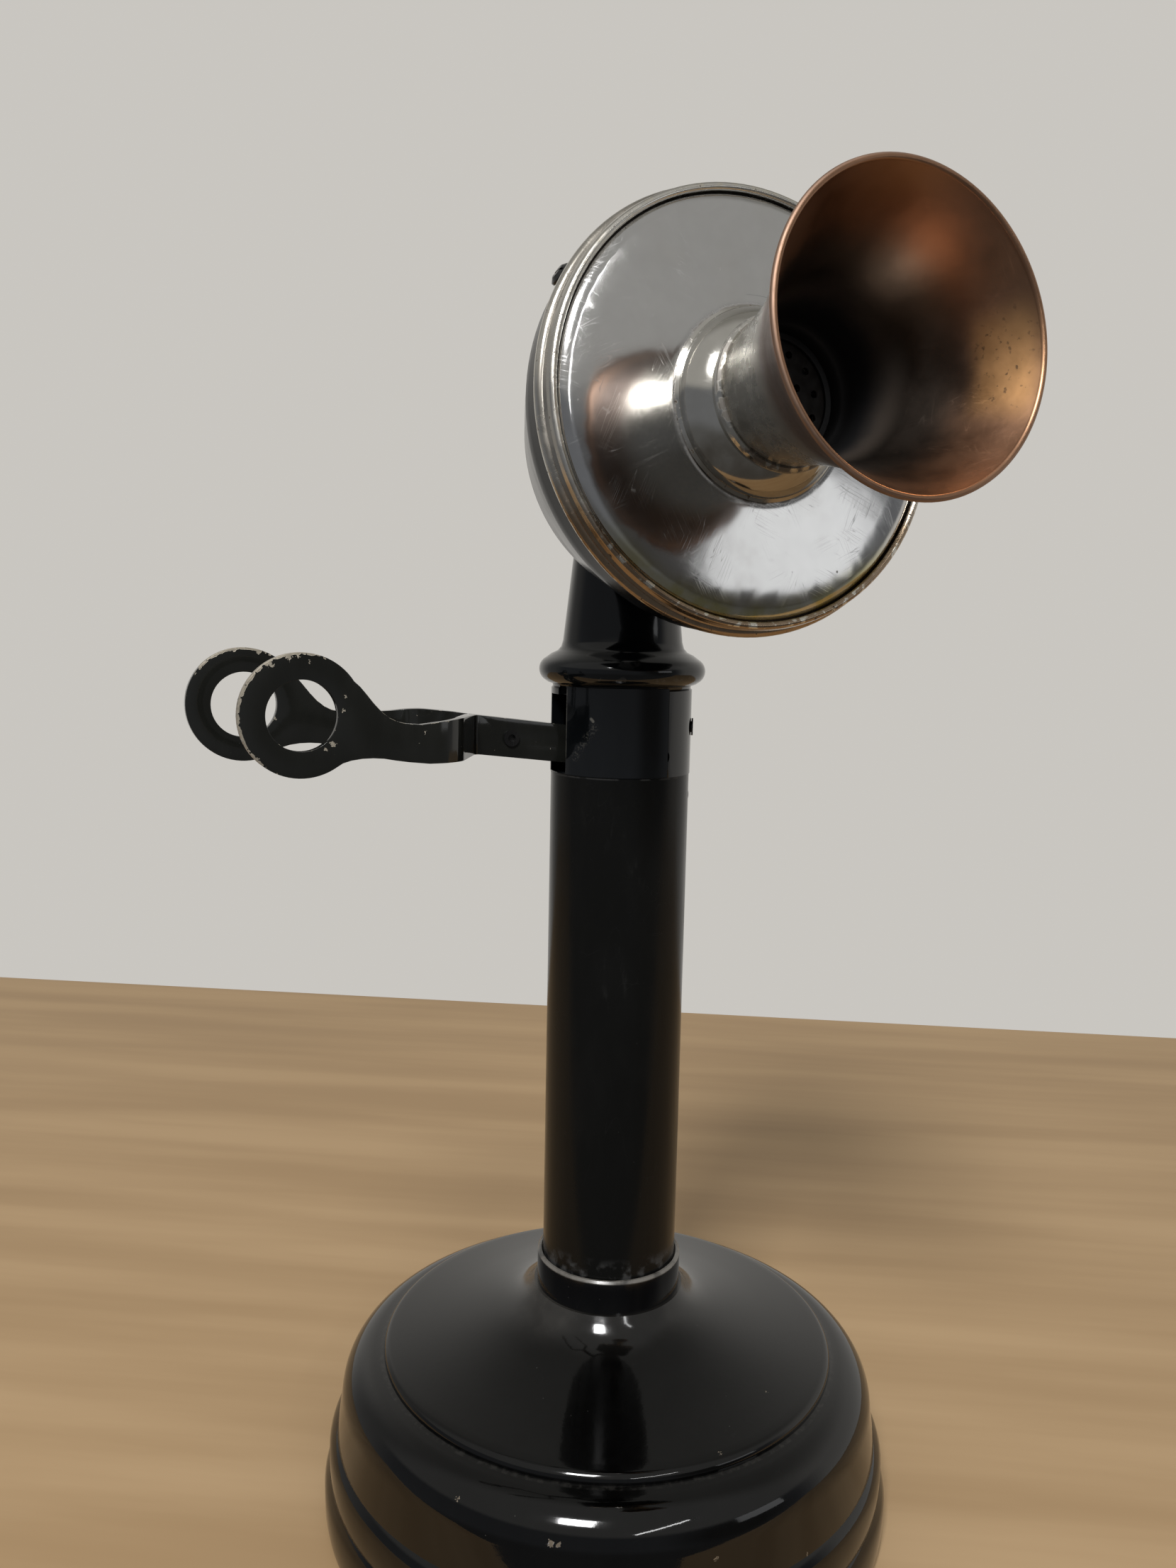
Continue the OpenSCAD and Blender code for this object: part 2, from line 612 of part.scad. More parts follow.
module hook_return_spring() {
    top = bar_z(-spring_x - 2.6) - hook_bar_h / 2 / cos(hook_slope) - seat_gap;
    color("#a9794a") translate([spring_x, 0, 0]) ring(2.6, 1.9, spring_seat_z, top - spring_seat_z);
}

// ---- contact springs ----
leaf_t = [0.4, 0.3];
tip_h = 0.4;
leaf_x = [-stud_u + roller_r + seat_gap, -stud_u + roller_r + seat_gap + 2.4];
leaf_z = stud_z - 3;
pile_z = [sleeve_z + 8.3, sleeve_top - 1.6];
pile_in = 1.2;
pile_out = leaf_x[1] + leaf_t[1] + pile_in;
pile_y = [-leaf_w[1] - 0.2, -leaf_w[0] + 0.2];
bracket_t = 1.8;
contact_screw_r = 0.9;
contact_y = -(leaf_w[0] + leaf_w[1]) / 2;
contact_z = [pile_z[0] + 4.6, pile_z[1] - 1.6];
module contact_screw_holes(r) {
    for (z = contact_z) translate([0, contact_y, z]) rotate([0, 90, 0]) cylinder(r = r, h = head_r);
}
module pile_block(x0, x1) {
    translate([x0, pile_y[0], pile_z[0]]) cube([x1 - x0, pile_y[1] - pile_y[0], pile_z[1] - pile_z[0]]);
}
module contact_leaf(k) {
    difference() {
        translate([leaf_x[k], -leaf_w[1], leaf_z]) cube([leaf_t[k], leaf_w[1] - leaf_w[0], pile_z[1] - leaf_z]);
        contact_screw_holes(contact_screw_r + slip_gap);
    }
}
module contact_main_spring() {
    color("#b3743a") {
        contact_leaf(0);
        translate([leaf_x[0] + leaf_t[0] - eps, contact_y, leaf_z + 1.5]) rotate([0, 90, 0]) cylinder(r = 0.9, h = tip_h);
    }
}
module contact_make_spring() {
    color("#b3743a") {
        contact_leaf(1);
        translate([leaf_x[1] - tip_h + eps, contact_y, leaf_z + 1.5]) rotate([0, 90, 0]) cylinder(r = 0.9, h = tip_h);
    }
}
module contact_insulators() {
    color("#4a2416") difference() {
        union() {
            pile_block(leaf_x[0] - pile_in, leaf_x[0]);
            pile_block(leaf_x[0] + leaf_t[0], leaf_x[1]);
            pile_block(leaf_x[1] + leaf_t[1], pile_out);
        }
        contact_screw_holes(contact_screw_r + slip_gap);
    }
}
module contact_bracket() {
    color("#6f7072") difference() {
        intersection() {
            pile_block(pile_out, pile_out + bracket_t + 2);
            cylinder(r = head_in_r - run_gap, h = bead_top);
        }
        contact_screw_holes(contact_screw_r + slip_gap);
        side_screw_place() cylinder(r = side_screw_r + slip_gap, h = head_r);
    }
}
module contact_screws() {
    color("#b08d3a") for (z = contact_z)
        translate([leaf_x[0] - pile_in - 0.9, contact_y, z]) rotate([0, 90, 0]) difference() {
        union() {
            cylinder(r = 1.4, h = 0.9);
            cylinder(r = contact_screw_r, h = pile_out + 1.4 - leaf_x[0] + pile_in + 0.9);
        }
        translate([-2, -0.2, -eps]) cube([4, 0.4, 0.4]);
    }
}

// ---- transmitter: drawn with +Z along its axis and +Y up, about the tilt pivot ----
module transmitter_frame() {
    translate([0, 0, tilt_pivot_z]) rotate([90 - tilt_rest, 0, 0]) children();
}
ear_gap = seat_gap;
ear_t = 3;
ear_r = 6.8;
flange_r = 11.5;
flange_t = 2.4;
ear_in = lug_half_t + ear_gap;
bolt_head_t = 2.6;
cup_lead_r = 2.2;
bracket_screw_r = 1.3;
bracket_screw_circle = 8.2;
module bracket_screw_places() {
    for (a = [90, 210, 330]) rotate(a) translate([bracket_screw_circle, 0, 0]) children();
}
module tilt_bracket() {
    color("#1a1b1e") transmitter_frame() difference() {
        union() {
            translate([0, 0, cup_back - flange_t]) cylinder(r = flange_r, h = flange_t);
            for (side = [-1, 1]) translate([side > 0 ? ear_in : -ear_in - ear_t, 0, 0]) {
                rotate([0, 90, 0]) cylinder(r = ear_r, h = ear_t);
                translate([0, -ear_r, 0]) cube([ear_t, 2 * ear_r, cup_back - flange_t + 0.5]);
            }
        }
        translate([-20, 0, 0]) rotate([0, 90, 0]) cylinder(r = tilt_bolt_r + 0.02, h = 40);
        bracket_screw_places() cylinder(r = bracket_screw_r + slip_gap, h = cup_back + 2);
    }
}
bolt_half = ear_in + ear_t;
module tilt_bolt() {
    color("#202124") transmitter_frame() translate([-bolt_half - 6, 0, 0]) rotate([0, 90, 0]) difference() {
        union() {
            cylinder(r = tilt_bolt_r, h = 2 * bolt_half + 6 + 0.5);
            translate([0, 0, 2 * bolt_half + 6]) cylinder(r = 5, h = bolt_head_t);
        }
        translate([-6, -0.5, 2 * bolt_half + 6 + bolt_head_t - 1]) cube([12, 1, 2]);
    }
}
module tilt_nut() {
    color("#202124") transmitter_frame() translate([-bolt_half - 4, 0, 0]) rotate([0, 90, 0]) difference() {
        cylinder(r = 4.6 / cos(30), h = 4, $fn = 6);
        translate([0, 0, -eps]) cylinder(r = tilt_bolt_r + 0.02, h = 5);
    }
}
module bracket_screws() {
    color("#8a8c8f") transmitter_frame() bracket_screw_places() difference() {
        union() {
            translate([0, 0, cup_back - flange_t + 0.2]) cylinder(r = bracket_screw_r, h = flange_t + cup_wall);
            translate([0, 0, cup_back + cup_wall]) cylinder(r = 2.4, h = 1.2);
        }
        translate([-3, -0.3, cup_back + cup_wall + 0.7]) cube([6, 0.6, 1]);
    }
}

// side line of the cup between its back corner and its rim, moved inwards by d
cup_flare = 0.8;
skirt_len = 6;
side_low = [cup_back_r, cup_back + 6.5];
side_mid = [(cup_back_r + cup_r) / 2 + 1.3, (side_low[1] + cup_rim) / 2];
side_slope = atan2(side_mid[0] - side_low[0], side_mid[1] - side_low[1]);
function cup_line(d) = concat(
    [[0, cup_back + d]],
    arc([side_low[0] - cup_round * cos(side_slope), cup_back + cup_round], cup_round - d, -90, -side_slope, 8),
    [for (p = [side_mid, [cup_r - cup_flare, cup_rim - skirt_len], [cup_r, cup_rim]]) [p[0] - d, p[1]]]);
rim_screw_angles = [146, 34];
rim_screw_z = cup_rim - 2.2;
rim_screw_r = 1;
rim_head_r = 2.3;
skirt_out_r = cup_r - cup_wall - 0.3;
skirt_t = 1.4;
module rim_screw_places() {
    for (a = rim_screw_angles) rotate(a) translate([0, 0, rim_screw_z]) rotate([0, 90, 0]) children();
}
module back_cup() {
    color("#121316") transmitter_frame() difference() {
        turned(concat(cup_line(0), flip(cup_line(cup_wall))));
        bracket_screw_places() cylinder(r = bracket_screw_r + slip_gap, h = cup_rim);
        translate([0, -18, 0]) cylinder(r = cup_lead_r, h = cup_back + 3);
        rim_screw_places() cylinder(r = rim_screw_r + slip_gap, h = cup_r + 5);
    }
}
module rim_screws() {
    color("#1b1b1d") transmitter_frame() rim_screw_places() difference() {
        union() {
            translate([0, 0, skirt_out_r - skirt_t]) cylinder(r = rim_screw_r, h = cup_r - skirt_out_r + skirt_t + 0.5);
            translate([0, 0, cup_r + 0.1]) cylinder(r = rim_head_r, h = 0.5);
            translate([0, 0, cup_r + 0.6]) cylinder(r1 = rim_head_r, r2 = rim_head_r - 0.9, h = 0.6);
        }
        translate([-3, -0.25, cup_r + 0.8]) cube([6, 0.5, 1]);
    }
}
seat_z = bezel_front - 2.4;
lip_t = 1.2;
skirt_in_r = skirt_out_r - skirt_t;
module bezel_ring() {
    out_c = [bezel_r - 1.3, cup_rim + 2.4];
    in_c = [bezel_in_r + 0.75, bezel_front - 0.75];
    color("#b9b6ae") transmitter_frame() difference() {
        turned(concat(
            [[skirt_in_r, cup_rim - skirt_len], [skirt_out_r - cup_flare, cup_rim - skirt_len], [skirt_out_r, cup_rim + 0.1],
             [cup_r - 0.2, cup_rim + 0.1], [out_c[0], cup_rim + 0.7]],
            arc(out_c, 1.3, -60, 85, 10),
            [[bezel_r - 1.75, bezel_front - 2.9], [bezel_r - 1.9, bezel_front - 2.1], [in_c[0] + 0.9, bezel_front - 1.5]],
            arc(in_c, 0.75, 0, 180, 8),
            [[bezel_in_r, seat_z], [bezel_in_r - 2.6, seat_z], [bezel_in_r - 2.6, seat_z - lip_t],
             [skirt_in_r, seat_z - lip_t]]));
        rim_screw_places() cylinder(r = rim_screw_r + slip_gap, h = cup_r + 5);
    }
}

// front of the faceplate, from its rim to the boss, moved back by d
face_edge_r = bezel_in_r - 0.4;
face_z = bezel_front + 0.2;
boss_z = face_z + face_rise;
boss_hole_r = 12.4;
function face_line(d) = [[boss_hole_r, boss_z - d], [boss_r + 0.8, boss_z - d],
    [boss_r + 1.6, boss_z - 0.15 - d], [face_edge_r - 6, face_z + 0.4 - d], [face_edge_r - 2.2, face_z - d],
    [face_edge_r - 0.8, face_z - 0.5 - d]];
grille_z = boss_z + 4.6;
module faceplate() {
    color("#c4c4c2") transmitter_frame() turned(concat(
        face_line(0), [[face_edge_r, face_z - 1.3], [face_edge_r, seat_z + 0.1], [face_edge_r - 1.4, seat_z + 0.1]],
        [[face_edge_r - 1.9, face_z - 0.5 - face_t]], flip([for (k = [0:4]) face_line(face_t)[k]])));
}
boss_in_r = boss_hole_r;
module face_boss() {
    z1 = boss_z + boss_h;
    color("#c9c6bd") transmitter_frame() turned(concat(
        [[boss_in_r, boss_z + 0.02], [boss_r, boss_z + 0.02], [boss_r + 0.1, boss_z + 0.5], [boss_r - 0.5, boss_z + 0.9]],
        arc([boss_r - 9, boss_z - 1.4], 9, 18, 58, 8),
        [[throat_out_r + 0.35, z1 - 1.1], [throat_out_r + 0.1, z1 - 0.4], [throat_out_r - 0.4, z1], [boss_in_r, z1]]));
}

// mouthpiece: outer and inner flare from the throat to the rim
mouth_z = boss_z + boss_h + 0.05;
throat_r = 11.5;
function flare(t) = 0.42 * t + 0.58 * pow(t, 2.1);
module mouthpiece() {
    steps = 14;
    z_end = mouth_z + mouth_len;
    outer = [for (i = [0:steps]) let (t = i / steps)
        [throat_out_r - 0.6 + (mouth_r - throat_out_r + 0.1) * flare(t), mouth_z + 0.6 + (mouth_len - 1.1) * t]];
    inner = [for (i = [0:steps]) let (t = i / steps)
        [throat_r + 0.97 + (mouth_r - mouth_wall - throat_r - 0.97) * flare(t), mouth_z + 0.6 + (mouth_len - 1.1) * t]];
    color("#8f5a35") transmitter_frame() turned(concat(
        [[throat_r - 1, boss_z + 5.4], [boss_in_r - run_gap, boss_z + 5.4], [boss_in_r - run_gap, mouth_z],
         [throat_out_r - 0.7, mouth_z]],
        outer,
        arc([mouth_r - 0.62, z_end - 0.6], 0.6, -60, 170, 8),
        flip(inner),
        [[throat_r, mouth_z - 0.5], [throat_r, boss_z + 6.2], [throat_r - 1, boss_z + 6]]));
}
sound_circle_r = 8.5;
module sound_grille() {
    color("#151412") transmitter_frame() difference() {
        translate([0, 0, grille_z]) cylinder(r = boss_in_r - slip_gap, h = 0.7);
        for (k = [0:sound_holes - 1]) rotate(8.7 + 360 * k / sound_holes) translate([sound_circle_r, 0, grille_z - 1])
            cylinder(r = sound_hole_r, h = 3);
        for (k = [0:5]) rotate(24 + 60 * k) translate([sound_circle_r - 3.4, 0, grille_z - 1]) cylinder(r = sound_hole_r, h = 3);
        translate([0, 0, grille_z - 1]) cylinder(r = sound_hole_r, h = 3);
    }
}

// ---- diaphragm and carbon button ----
gasket_t = 1;
gasket_z = seat_z - lip_t - gasket_t;
gasket_out_r = skirt_in_r - 0.4;
diaphragm_t = 0.6;
diaphragm_z = gasket_z - diaphragm_t;
clamp_t = 3;
clamp_z = diaphragm_z - clamp_t;
clamp_in_r = 30;
button_r = 13;
button_h = 8;
stud_len = 4;
button_z = diaphragm_z - stud_len - button_h;
mica_z = button_z + button_h - 2.2;
bridge_t = 2;
bridge_w = 12;
bridge_z = button_z - bridge_t;
bridge_half = 34.6;
foot_w = 4.8;
bridge_screw_r = 1.2;
bridge_screw_x = bridge_half - foot_w / 2;
damp_angles = [90, 270];
damp_foot = 32.5;
damp_tip = 14;
damp_t = 0.6;
damp_screw_r = 1;
module bridge_screw_places() {
    for (side = [-1, 1]) translate([side * bridge_screw_x, 0, 0]) children();
}
module damp_place() { for (a = damp_angles) rotate(a) children(); }
module diaphragm_gasket() {
    color("#232323") transmitter_frame() ring(gasket_out_r, gasket_out_r - 2.6, gasket_z, gasket_t);
}
module diaphragm() {
    color("#b4b7ba") transmitter_frame() ring(gasket_out_r, 1.3, diaphragm_z, diaphragm_t);
}
module clamp_ring() {
    color("#a08a4e") transmitter_frame() difference() {
        ring(skirt_in_r - slip_gap, clamp_in_r, clamp_z, clamp_t);
        bridge_screw_places() translate([0, 0, clamp_z - 1])
            cylinder(r = bridge_screw_r + slip_gap, h = clamp_t + 2);
        damp_place() translate([damp_foot, 0, clamp_z - 1])
            cylinder(r = damp_screw_r + slip_gap, h = clamp_t + 2);
    }
}
module button_stud() {
    color("#b08d3a") transmitter_frame() {
        translate([0, 0, mica_z + 0.1]) cylinder(r = 1.2, h = diaphragm_z + 3.4 - mica_z);
        translate([0, 0, diaphragm_z + diaphragm_t]) cylinder(r = 2.6, h = 1.6, $fn = 6);
        translate([0, 0, diaphragm_z - 1.6]) cylinder(r = 2.6, h = 1.6, $fn = 6);
    }
}
module carbon_button() {
    color("#a8863c") transmitter_frame() turned([[0, button_z], [button_r, button_z], [button_r, button_z + button_h],
        [button_r - 3, button_z + button_h], [button_r - 3, mica_z], [0, mica_z]]);
}
module button_diaphragm() {
    color("#9c8a58") transmitter_frame() ring(button_r - 3.1, 1.3, mica_z, 0.4);
}
module button_bridge() {
    color("#8a8c8f") transmitter_frame() difference() {
        union() {
            translate([-bridge_half, -bridge_w / 2, bridge_z]) cube([2 * bridge_half, bridge_w, bridge_t]);
            bridge_screw_places() translate([-foot_w / 2, -bridge_w / 2, bridge_z])
                cube([foot_w, bridge_w, clamp_z - bridge_z]);
        }
        bridge_screw_places() translate([0, 0, bridge_z - 1]) cylinder(r = bridge_screw_r + slip_gap, h = 30);
    }
}
module bridge_screws() {
    color("#8a8c8f") transmitter_frame() bridge_screw_places() difference() {
        union() {
            translate([0, 0, bridge_z - 1.2]) cylinder(r = 2.2, h = 1.2);
            translate([0, 0, bridge_z]) cylinder(r = bridge_screw_r, h = clamp_z + clamp_t - 0.4 - bridge_z);
        }
        translate([-3, -0.25, bridge_z - 1.2 - eps]) cube([6, 0.5, 0.5]);
    }
}
module damping_springs() {
    color("#9b6b3c") transmitter_frame() damp_place() difference() {
        union() {
            translate([damp_foot - 2.6, -3, clamp_z - damp_t]) cube([5.2, 6, damp_t]);
            translate([damp_tip, -2, clamp_z - damp_t]) cube([damp_foot - damp_tip, 4, damp_t]);
        }
        translate([damp_foot, 0, 0]) cylinder(r = damp_screw_r + slip_gap, h = clamp_z + 1);
    }
}
module damping_pads() {
    color("#1d1d1d") transmitter_frame() damp_place() translate([damp_tip + 2, 0, clamp_z]) cylinder(r = 1.9, h = clamp_t);
}
module damping_screws() {
    color("#b08d3a") transmitter_frame() damp_place() translate([damp_foot, 0, clamp_z - damp_t]) {
        translate([0, 0, -0.8]) cylinder(r = 1.8, h = 0.8);
        cylinder(r = damp_screw_r, h = damp_t + clamp_t - 0.6);
    }
}

base_shell();
base_plate();
base_felt();
base_ballast();
base_screws();
line_cord_bushing();
receiver_cord_bushing();
terminal_block();
terminal_screws();
stem_tube();
stem_foot();
stem_washer();
stem_nut();
foot_collar();
head_casting();
head_cover();
head_screws();
side_screw();
hook_pivot_pin();
hook_stop_pin();
hook_front_half();
hook_rear_half();
hook_rivets();
hook_arm();
hook_arm_stud();
hook_return_spring();
contact_bracket();
contact_insulators();
contact_main_spring();
contact_make_spring();
contact_screws();
tilt_bracket();
tilt_bolt();
tilt_nut();
bracket_screws();
back_cup();
rim_screws();
bezel_ring();
faceplate();
face_boss();
mouthpiece();
sound_grille();
diaphragm();
diaphragm_gasket();
clamp_ring();
damping_springs();
damping_pads();
damping_screws();
carbon_button();
button_diaphragm();
button_stud();
button_bridge();
bridge_screws();
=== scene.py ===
import math

import bmesh
import bpy
from mathutils import Matrix, Vector


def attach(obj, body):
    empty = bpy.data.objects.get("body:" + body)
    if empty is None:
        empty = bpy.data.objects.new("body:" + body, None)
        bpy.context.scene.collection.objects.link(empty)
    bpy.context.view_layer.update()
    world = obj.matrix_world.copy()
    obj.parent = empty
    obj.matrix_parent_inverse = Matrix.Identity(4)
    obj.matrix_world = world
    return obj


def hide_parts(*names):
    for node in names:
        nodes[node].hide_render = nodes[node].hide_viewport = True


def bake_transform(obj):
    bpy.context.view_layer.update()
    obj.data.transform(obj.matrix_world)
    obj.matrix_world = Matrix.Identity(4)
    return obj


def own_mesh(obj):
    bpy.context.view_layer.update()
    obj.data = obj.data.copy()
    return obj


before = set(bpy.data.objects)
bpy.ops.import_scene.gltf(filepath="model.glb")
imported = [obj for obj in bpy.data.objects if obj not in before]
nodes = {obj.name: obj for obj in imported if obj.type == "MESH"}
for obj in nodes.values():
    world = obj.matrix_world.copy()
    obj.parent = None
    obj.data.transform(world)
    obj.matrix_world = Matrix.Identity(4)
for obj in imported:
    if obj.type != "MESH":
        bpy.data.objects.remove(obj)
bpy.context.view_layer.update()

MM = 0.001

# ---- camera ----
# A phone-like lens held a little left of the stand and just above the switch hook.
camera_place = Vector((-0.12759, -0.2592, 0.21359))
camera_azimuth = math.radians(24.76)  # from +Y towards +X
camera_pitch = 0.1301  # downwards
camera_roll = 0.0202
sensor_long = 36
focal_share = 1764.19 / 2212  # of the long side of the frame
ahead = Vector((math.sin(camera_azimuth) * math.cos(camera_pitch),
                math.cos(camera_azimuth) * math.cos(camera_pitch), -math.sin(camera_pitch)))
level_right = Vector((math.cos(camera_azimuth), -math.sin(camera_azimuth), 0))
level_up = level_right.cross(ahead)
right = level_right * math.cos(camera_roll) + level_up * math.sin(camera_roll)
up = level_up * math.cos(camera_roll) - level_right * math.sin(camera_roll)
lens = bpy.data.cameras.new("camera")
lens.sensor_fit = "AUTO"
lens.sensor_width = sensor_long
lens.lens = sensor_long * focal_share
lens.clip_start = 0.01
camera = bpy.data.objects.new("camera", lens)
camera.matrix_world = Matrix.Translation(camera_place) @ Matrix((right, up, -ahead)).transposed().to_4x4()
bpy.context.scene.collection.objects.link(camera)
bpy.context.scene.camera = camera

# ---- table top ----
# A pale wooden plank with rounded top edges; its length runs along the wall behind the stand.
def wire(tree, kind, inputs=None, **settings):
    """A shader node with its inputs wired to other sockets or set to plain values."""
    made = tree.nodes.new("ShaderNode" + kind)
    for key, value in settings.items():
        setattr(made, key, value)
    for key, value in (inputs or {}).items():
        if isinstance(value, bpy.types.NodeSocket):
            tree.links.new(value, made.inputs[key])
        else:
            made.inputs[key].default_value = value
    return made


def ease(tree, value, low, high, out_low=0.0, out_high=1.0):
    """Goes smoothly from out_low to out_high as value goes from low to high."""
    made = wire(tree, "MapRange", {"Value": value, "From Min": low, "From Max": high, "To Min": out_low,
                                   "To Max": out_high}, interpolation_type="SMOOTHSTEP", clamp=True)
    return made.outputs["Result"]


def blend(tree, share, under, over):
    return wire(tree, "Mix", {0: share, 6: under, 7: over}, data_type="RGBA").outputs[2]


def paint(name):
    made = bpy.data.materials.new(name)
    made.use_nodes = True
    return made, made.node_tree, made.node_tree.nodes["Principled BSDF"]


wall_x, wall_y = 0.51, 0.86  # the level direction from the stand to the wall
table_paint, tree, shader = paint("table_top")
shader.inputs["Specular IOR Level"].default_value = 0.3
spots = wire(tree, "TexCoord").outputs["Object"]
long_grain = wire(tree, "Mapping", {"Vector": spots, "Scale": (1.2, 14, 14)}).outputs[0]
soft_figure = wire(tree, "TexNoise", {"Vector": long_grain, "Scale": 2.6, "Detail": 5.0}).outputs["Fac"]
grain_share = ease(tree, soft_figure, 0.3, 0.7)
tree.links.new(blend(tree, grain_share, (0.40, 0.262, 0.135, 1), (0.50, 0.342, 0.19, 1)),
               shader.inputs["Base Color"])
tree.links.new(ease(tree, soft_figure, 0.3, 0.7, 0.5, 0.62), shader.inputs["Roughness"])
plank_half, plank_near, plank_far, plank_thick, plank_round = 0.9, -0.112, 0.385, 0.028, 0.003
corners = [(-plank_half, plank_near), (plank_half, plank_near),
           (plank_half, plank_far), (-plank_half, plank_far)]
table_shape = bmesh.new()
low = [table_shape.verts.new((x, y, -plank_thick)) for x, y in corners]
high = [table_shape.verts.new((x, y, 0)) for x, y in corners]
table_shape.faces.new(low[::-1])
table_shape.faces.new(high)
for k in range(4):
    table_shape.faces.new((low[k], low[(k + 1) % 4], high[(k + 1) % 4], high[k]))
top_edges = [edge for edge in table_shape.edges if all(vert.co.z > -0.001 for vert in edge.verts)]
bmesh.ops.bevel(table_shape, geom=top_edges, offset=plank_round, segments=3, profile=0.5, affect="EDGES")
table_mesh = bpy.data.meshes.new("table_top")
table_shape.to_mesh(table_mesh)
table_shape.free()
table_mesh.materials.append(table_paint)
table_top = bpy.data.objects.new("table_top", table_mesh)
table_top.matrix_world = Matrix.Rotation(math.atan2(-wall_x, wall_y), 4, "Z")
bpy.context.scene.collection.objects.link(table_top)

# ---- room and lights ----
# The room is the world: a pale plaster wall behind the stand that darkens towards the left, and a
# dimmer room in front of it with a pale ceiling. A lamp hangs high on the left, a long tube above,
# and a small window stands to the right.
def vector(tree, operation, *values):
    """A sum on vectors, or the plain number that a length, a distance or a product gives."""
    made = wire(tree, "VectorMath", dict(enumerate(values)), operation=operation)
    return made.outputs["Value" if operation in ("DOT_PRODUCT", "DISTANCE", "LENGTH") else "Vector"]


def split(tree, spots):
    return wire(tree, "SeparateXYZ", {"Vector": spots}).outputs


bpy.context.scene.view_settings.view_transform = "Standard"
room = bpy.data.worlds.new("room")
room.use_nodes = True
bpy.context.scene.world = room
tree = room.node_tree
look = wire(tree, "TexCoord").outputs["Generated"]
rise = split(tree, look)["Z"]
floor_share = ease(tree, rise, -0.38, -0.12)
far_room = blend(tree, floor_share, (0.10, 0.10, 0.10, 1), (0.155, 0.16, 0.17, 1))
dark_door = Vector((0.42, -0.90, 0.06)).normalized()
from_door = vector(tree, "DISTANCE", look, dark_door)
far_room = blend(tree, ease(tree, from_door, 0.58, 0.16), far_room, (0.06, 0.058, 0.056, 1))
far_room = blend(tree, ease(tree, rise, 0.30, 0.43), far_room, (0.385, 0.38, 0.365, 1))
wall = blend(tree, ease(tree, rise, 0.40, 0.86), (0.585, 0.565, 0.53, 1), (0.23, 0.225, 0.21, 1))
wall = blend(tree, ease(tree, split(tree, look)["X"], -0.12, -0.60), wall, (0.26, 0.255, 0.245, 1))
wall_share = ease(tree, vector(tree, "DOT_PRODUCT", look, (wall_x, wall_y, 0)), -0.14, 0.22)
tree.links.new(blend(tree, wall_share, far_room, wall), tree.nodes["Background"].inputs["Color"])
tree.nodes["Background"].inputs["Strength"].default_value = 1.0


def soft_light(name, place, turned, wide, tall, power, colour=(1, 1, 1)):
    lamp = bpy.data.lights.new(name, "AREA")
    lamp.shape = "RECTANGLE"
    lamp.size, lamp.size_y, lamp.energy, lamp.color = wide, tall, power, colour
    held = bpy.data.objects.new(name, lamp)
    held.matrix_world = Matrix.Translation(place) @ turned.to_4x4()
    bpy.context.scene.collection.objects.link(held)


def aimed(place, aim):
    return (Vector(aim) - Vector(place)).to_track_quat("-Z", "Y").to_matrix()


lamp_place = (-0.65, -0.84, 1.22)
soft_light("ceiling_light", lamp_place, aimed(lamp_place, (0, 0, 0.15)), 0.30, 0.36, 19)
window_place = (0.745, -1.07, 0.40)
soft_light("right_window", window_place, aimed(window_place, (0, 0, 0.22)), 0.46, 0.25, 0.36,
           (0.97, 0.985, 1.0))
tube_place = Vector((-0.05, -1.336, 0.978))
tube_back = (tube_place - Vector((0, 0, 0.12))).normalized()
tube_along = Vector((0.535, 0.19, 0.385))
tube_along = (tube_along - tube_along.dot(tube_back) * tube_back).normalized()
tube_turned = Matrix((tube_along, tube_back.cross(tube_along), tube_back)).transposed()
soft_light("strip_light", tube_place, tube_turned, 0.78, 0.04, 1.6)

# ---- base shell ----
# A drawn steel shell in baked gloss black enamel: two ledges in the side, a round shoulder, a rolled
# ridge and a dished cone up to the stem. The enamel is dusty, finely scratched and chipped low down.
def figure(tree, operation, *values, clamp=False):
    return wire(tree, "Math", dict(enumerate(values)), operation=operation, use_clamp=clamp).outputs[0]


def plus(tree, *values, clamp=False):
    return figure(tree, "ADD", *values, clamp=clamp)


def minus(tree, *values):
    return figure(tree, "SUBTRACT", *values)


def times(tree, *values):
    return figure(tree, "MULTIPLY", *values)


def pattern(name, takes, gives):
    """A new shader group that takes and gives plain numbers, with its inner ends."""
    made = bpy.data.node_groups.new(name, "ShaderNodeTree")
    for key, value in takes.items():
        socket = made.interface.new_socket(key, in_out="INPUT", socket_type="NodeSocketFloat")
        socket.default_value = value
    for key in gives:
        made.interface.new_socket(key, in_out="OUTPUT", socket_type="NodeSocketFloat")
    return made, made.nodes.new("NodeGroupInput"), made.nodes.new("NodeGroupOutput")


def use(tree, group, output="Mask", **values):
    """A shader group placed in a tree with its own values."""
    made = tree.nodes.new("ShaderNodeGroup")
    made.node_tree = group
    for key, value in values.items():
        if isinstance(value, bpy.types.NodeSocket):
            tree.links.new(value, made.inputs[key])
        else:
            made.inputs[key].default_value = value
    return made.outputs[output]


def millimetres(tree):
    """Places on the piece, in millimetres, that stay with it when it moves."""
    return vector(tree, "MULTIPLY", wire(tree, "TexCoord").outputs["Object"], (1000, 1000, 1000))


def noise(tree, spots, scale, detail=2.0, stretch=None, turn=(0, 0, 0), shift=(0, 0, 0)):
    if stretch:
        moved = {"Vector": spots, "Scale": stretch, "Rotation": turn, "Location": shift}
        spots = wire(tree, "Mapping", moved).outputs[0]
    return wire(tree, "TexNoise", {"Vector": spots, "Scale": scale, "Detail": detail}).outputs["Fac"]


def most(tree, masks):
    """The strongest of the masks at each place."""
    top = masks[0]
    for mask in masks[1:]:
        top = figure(tree, "MAXIMUM", top, mask)
    return top


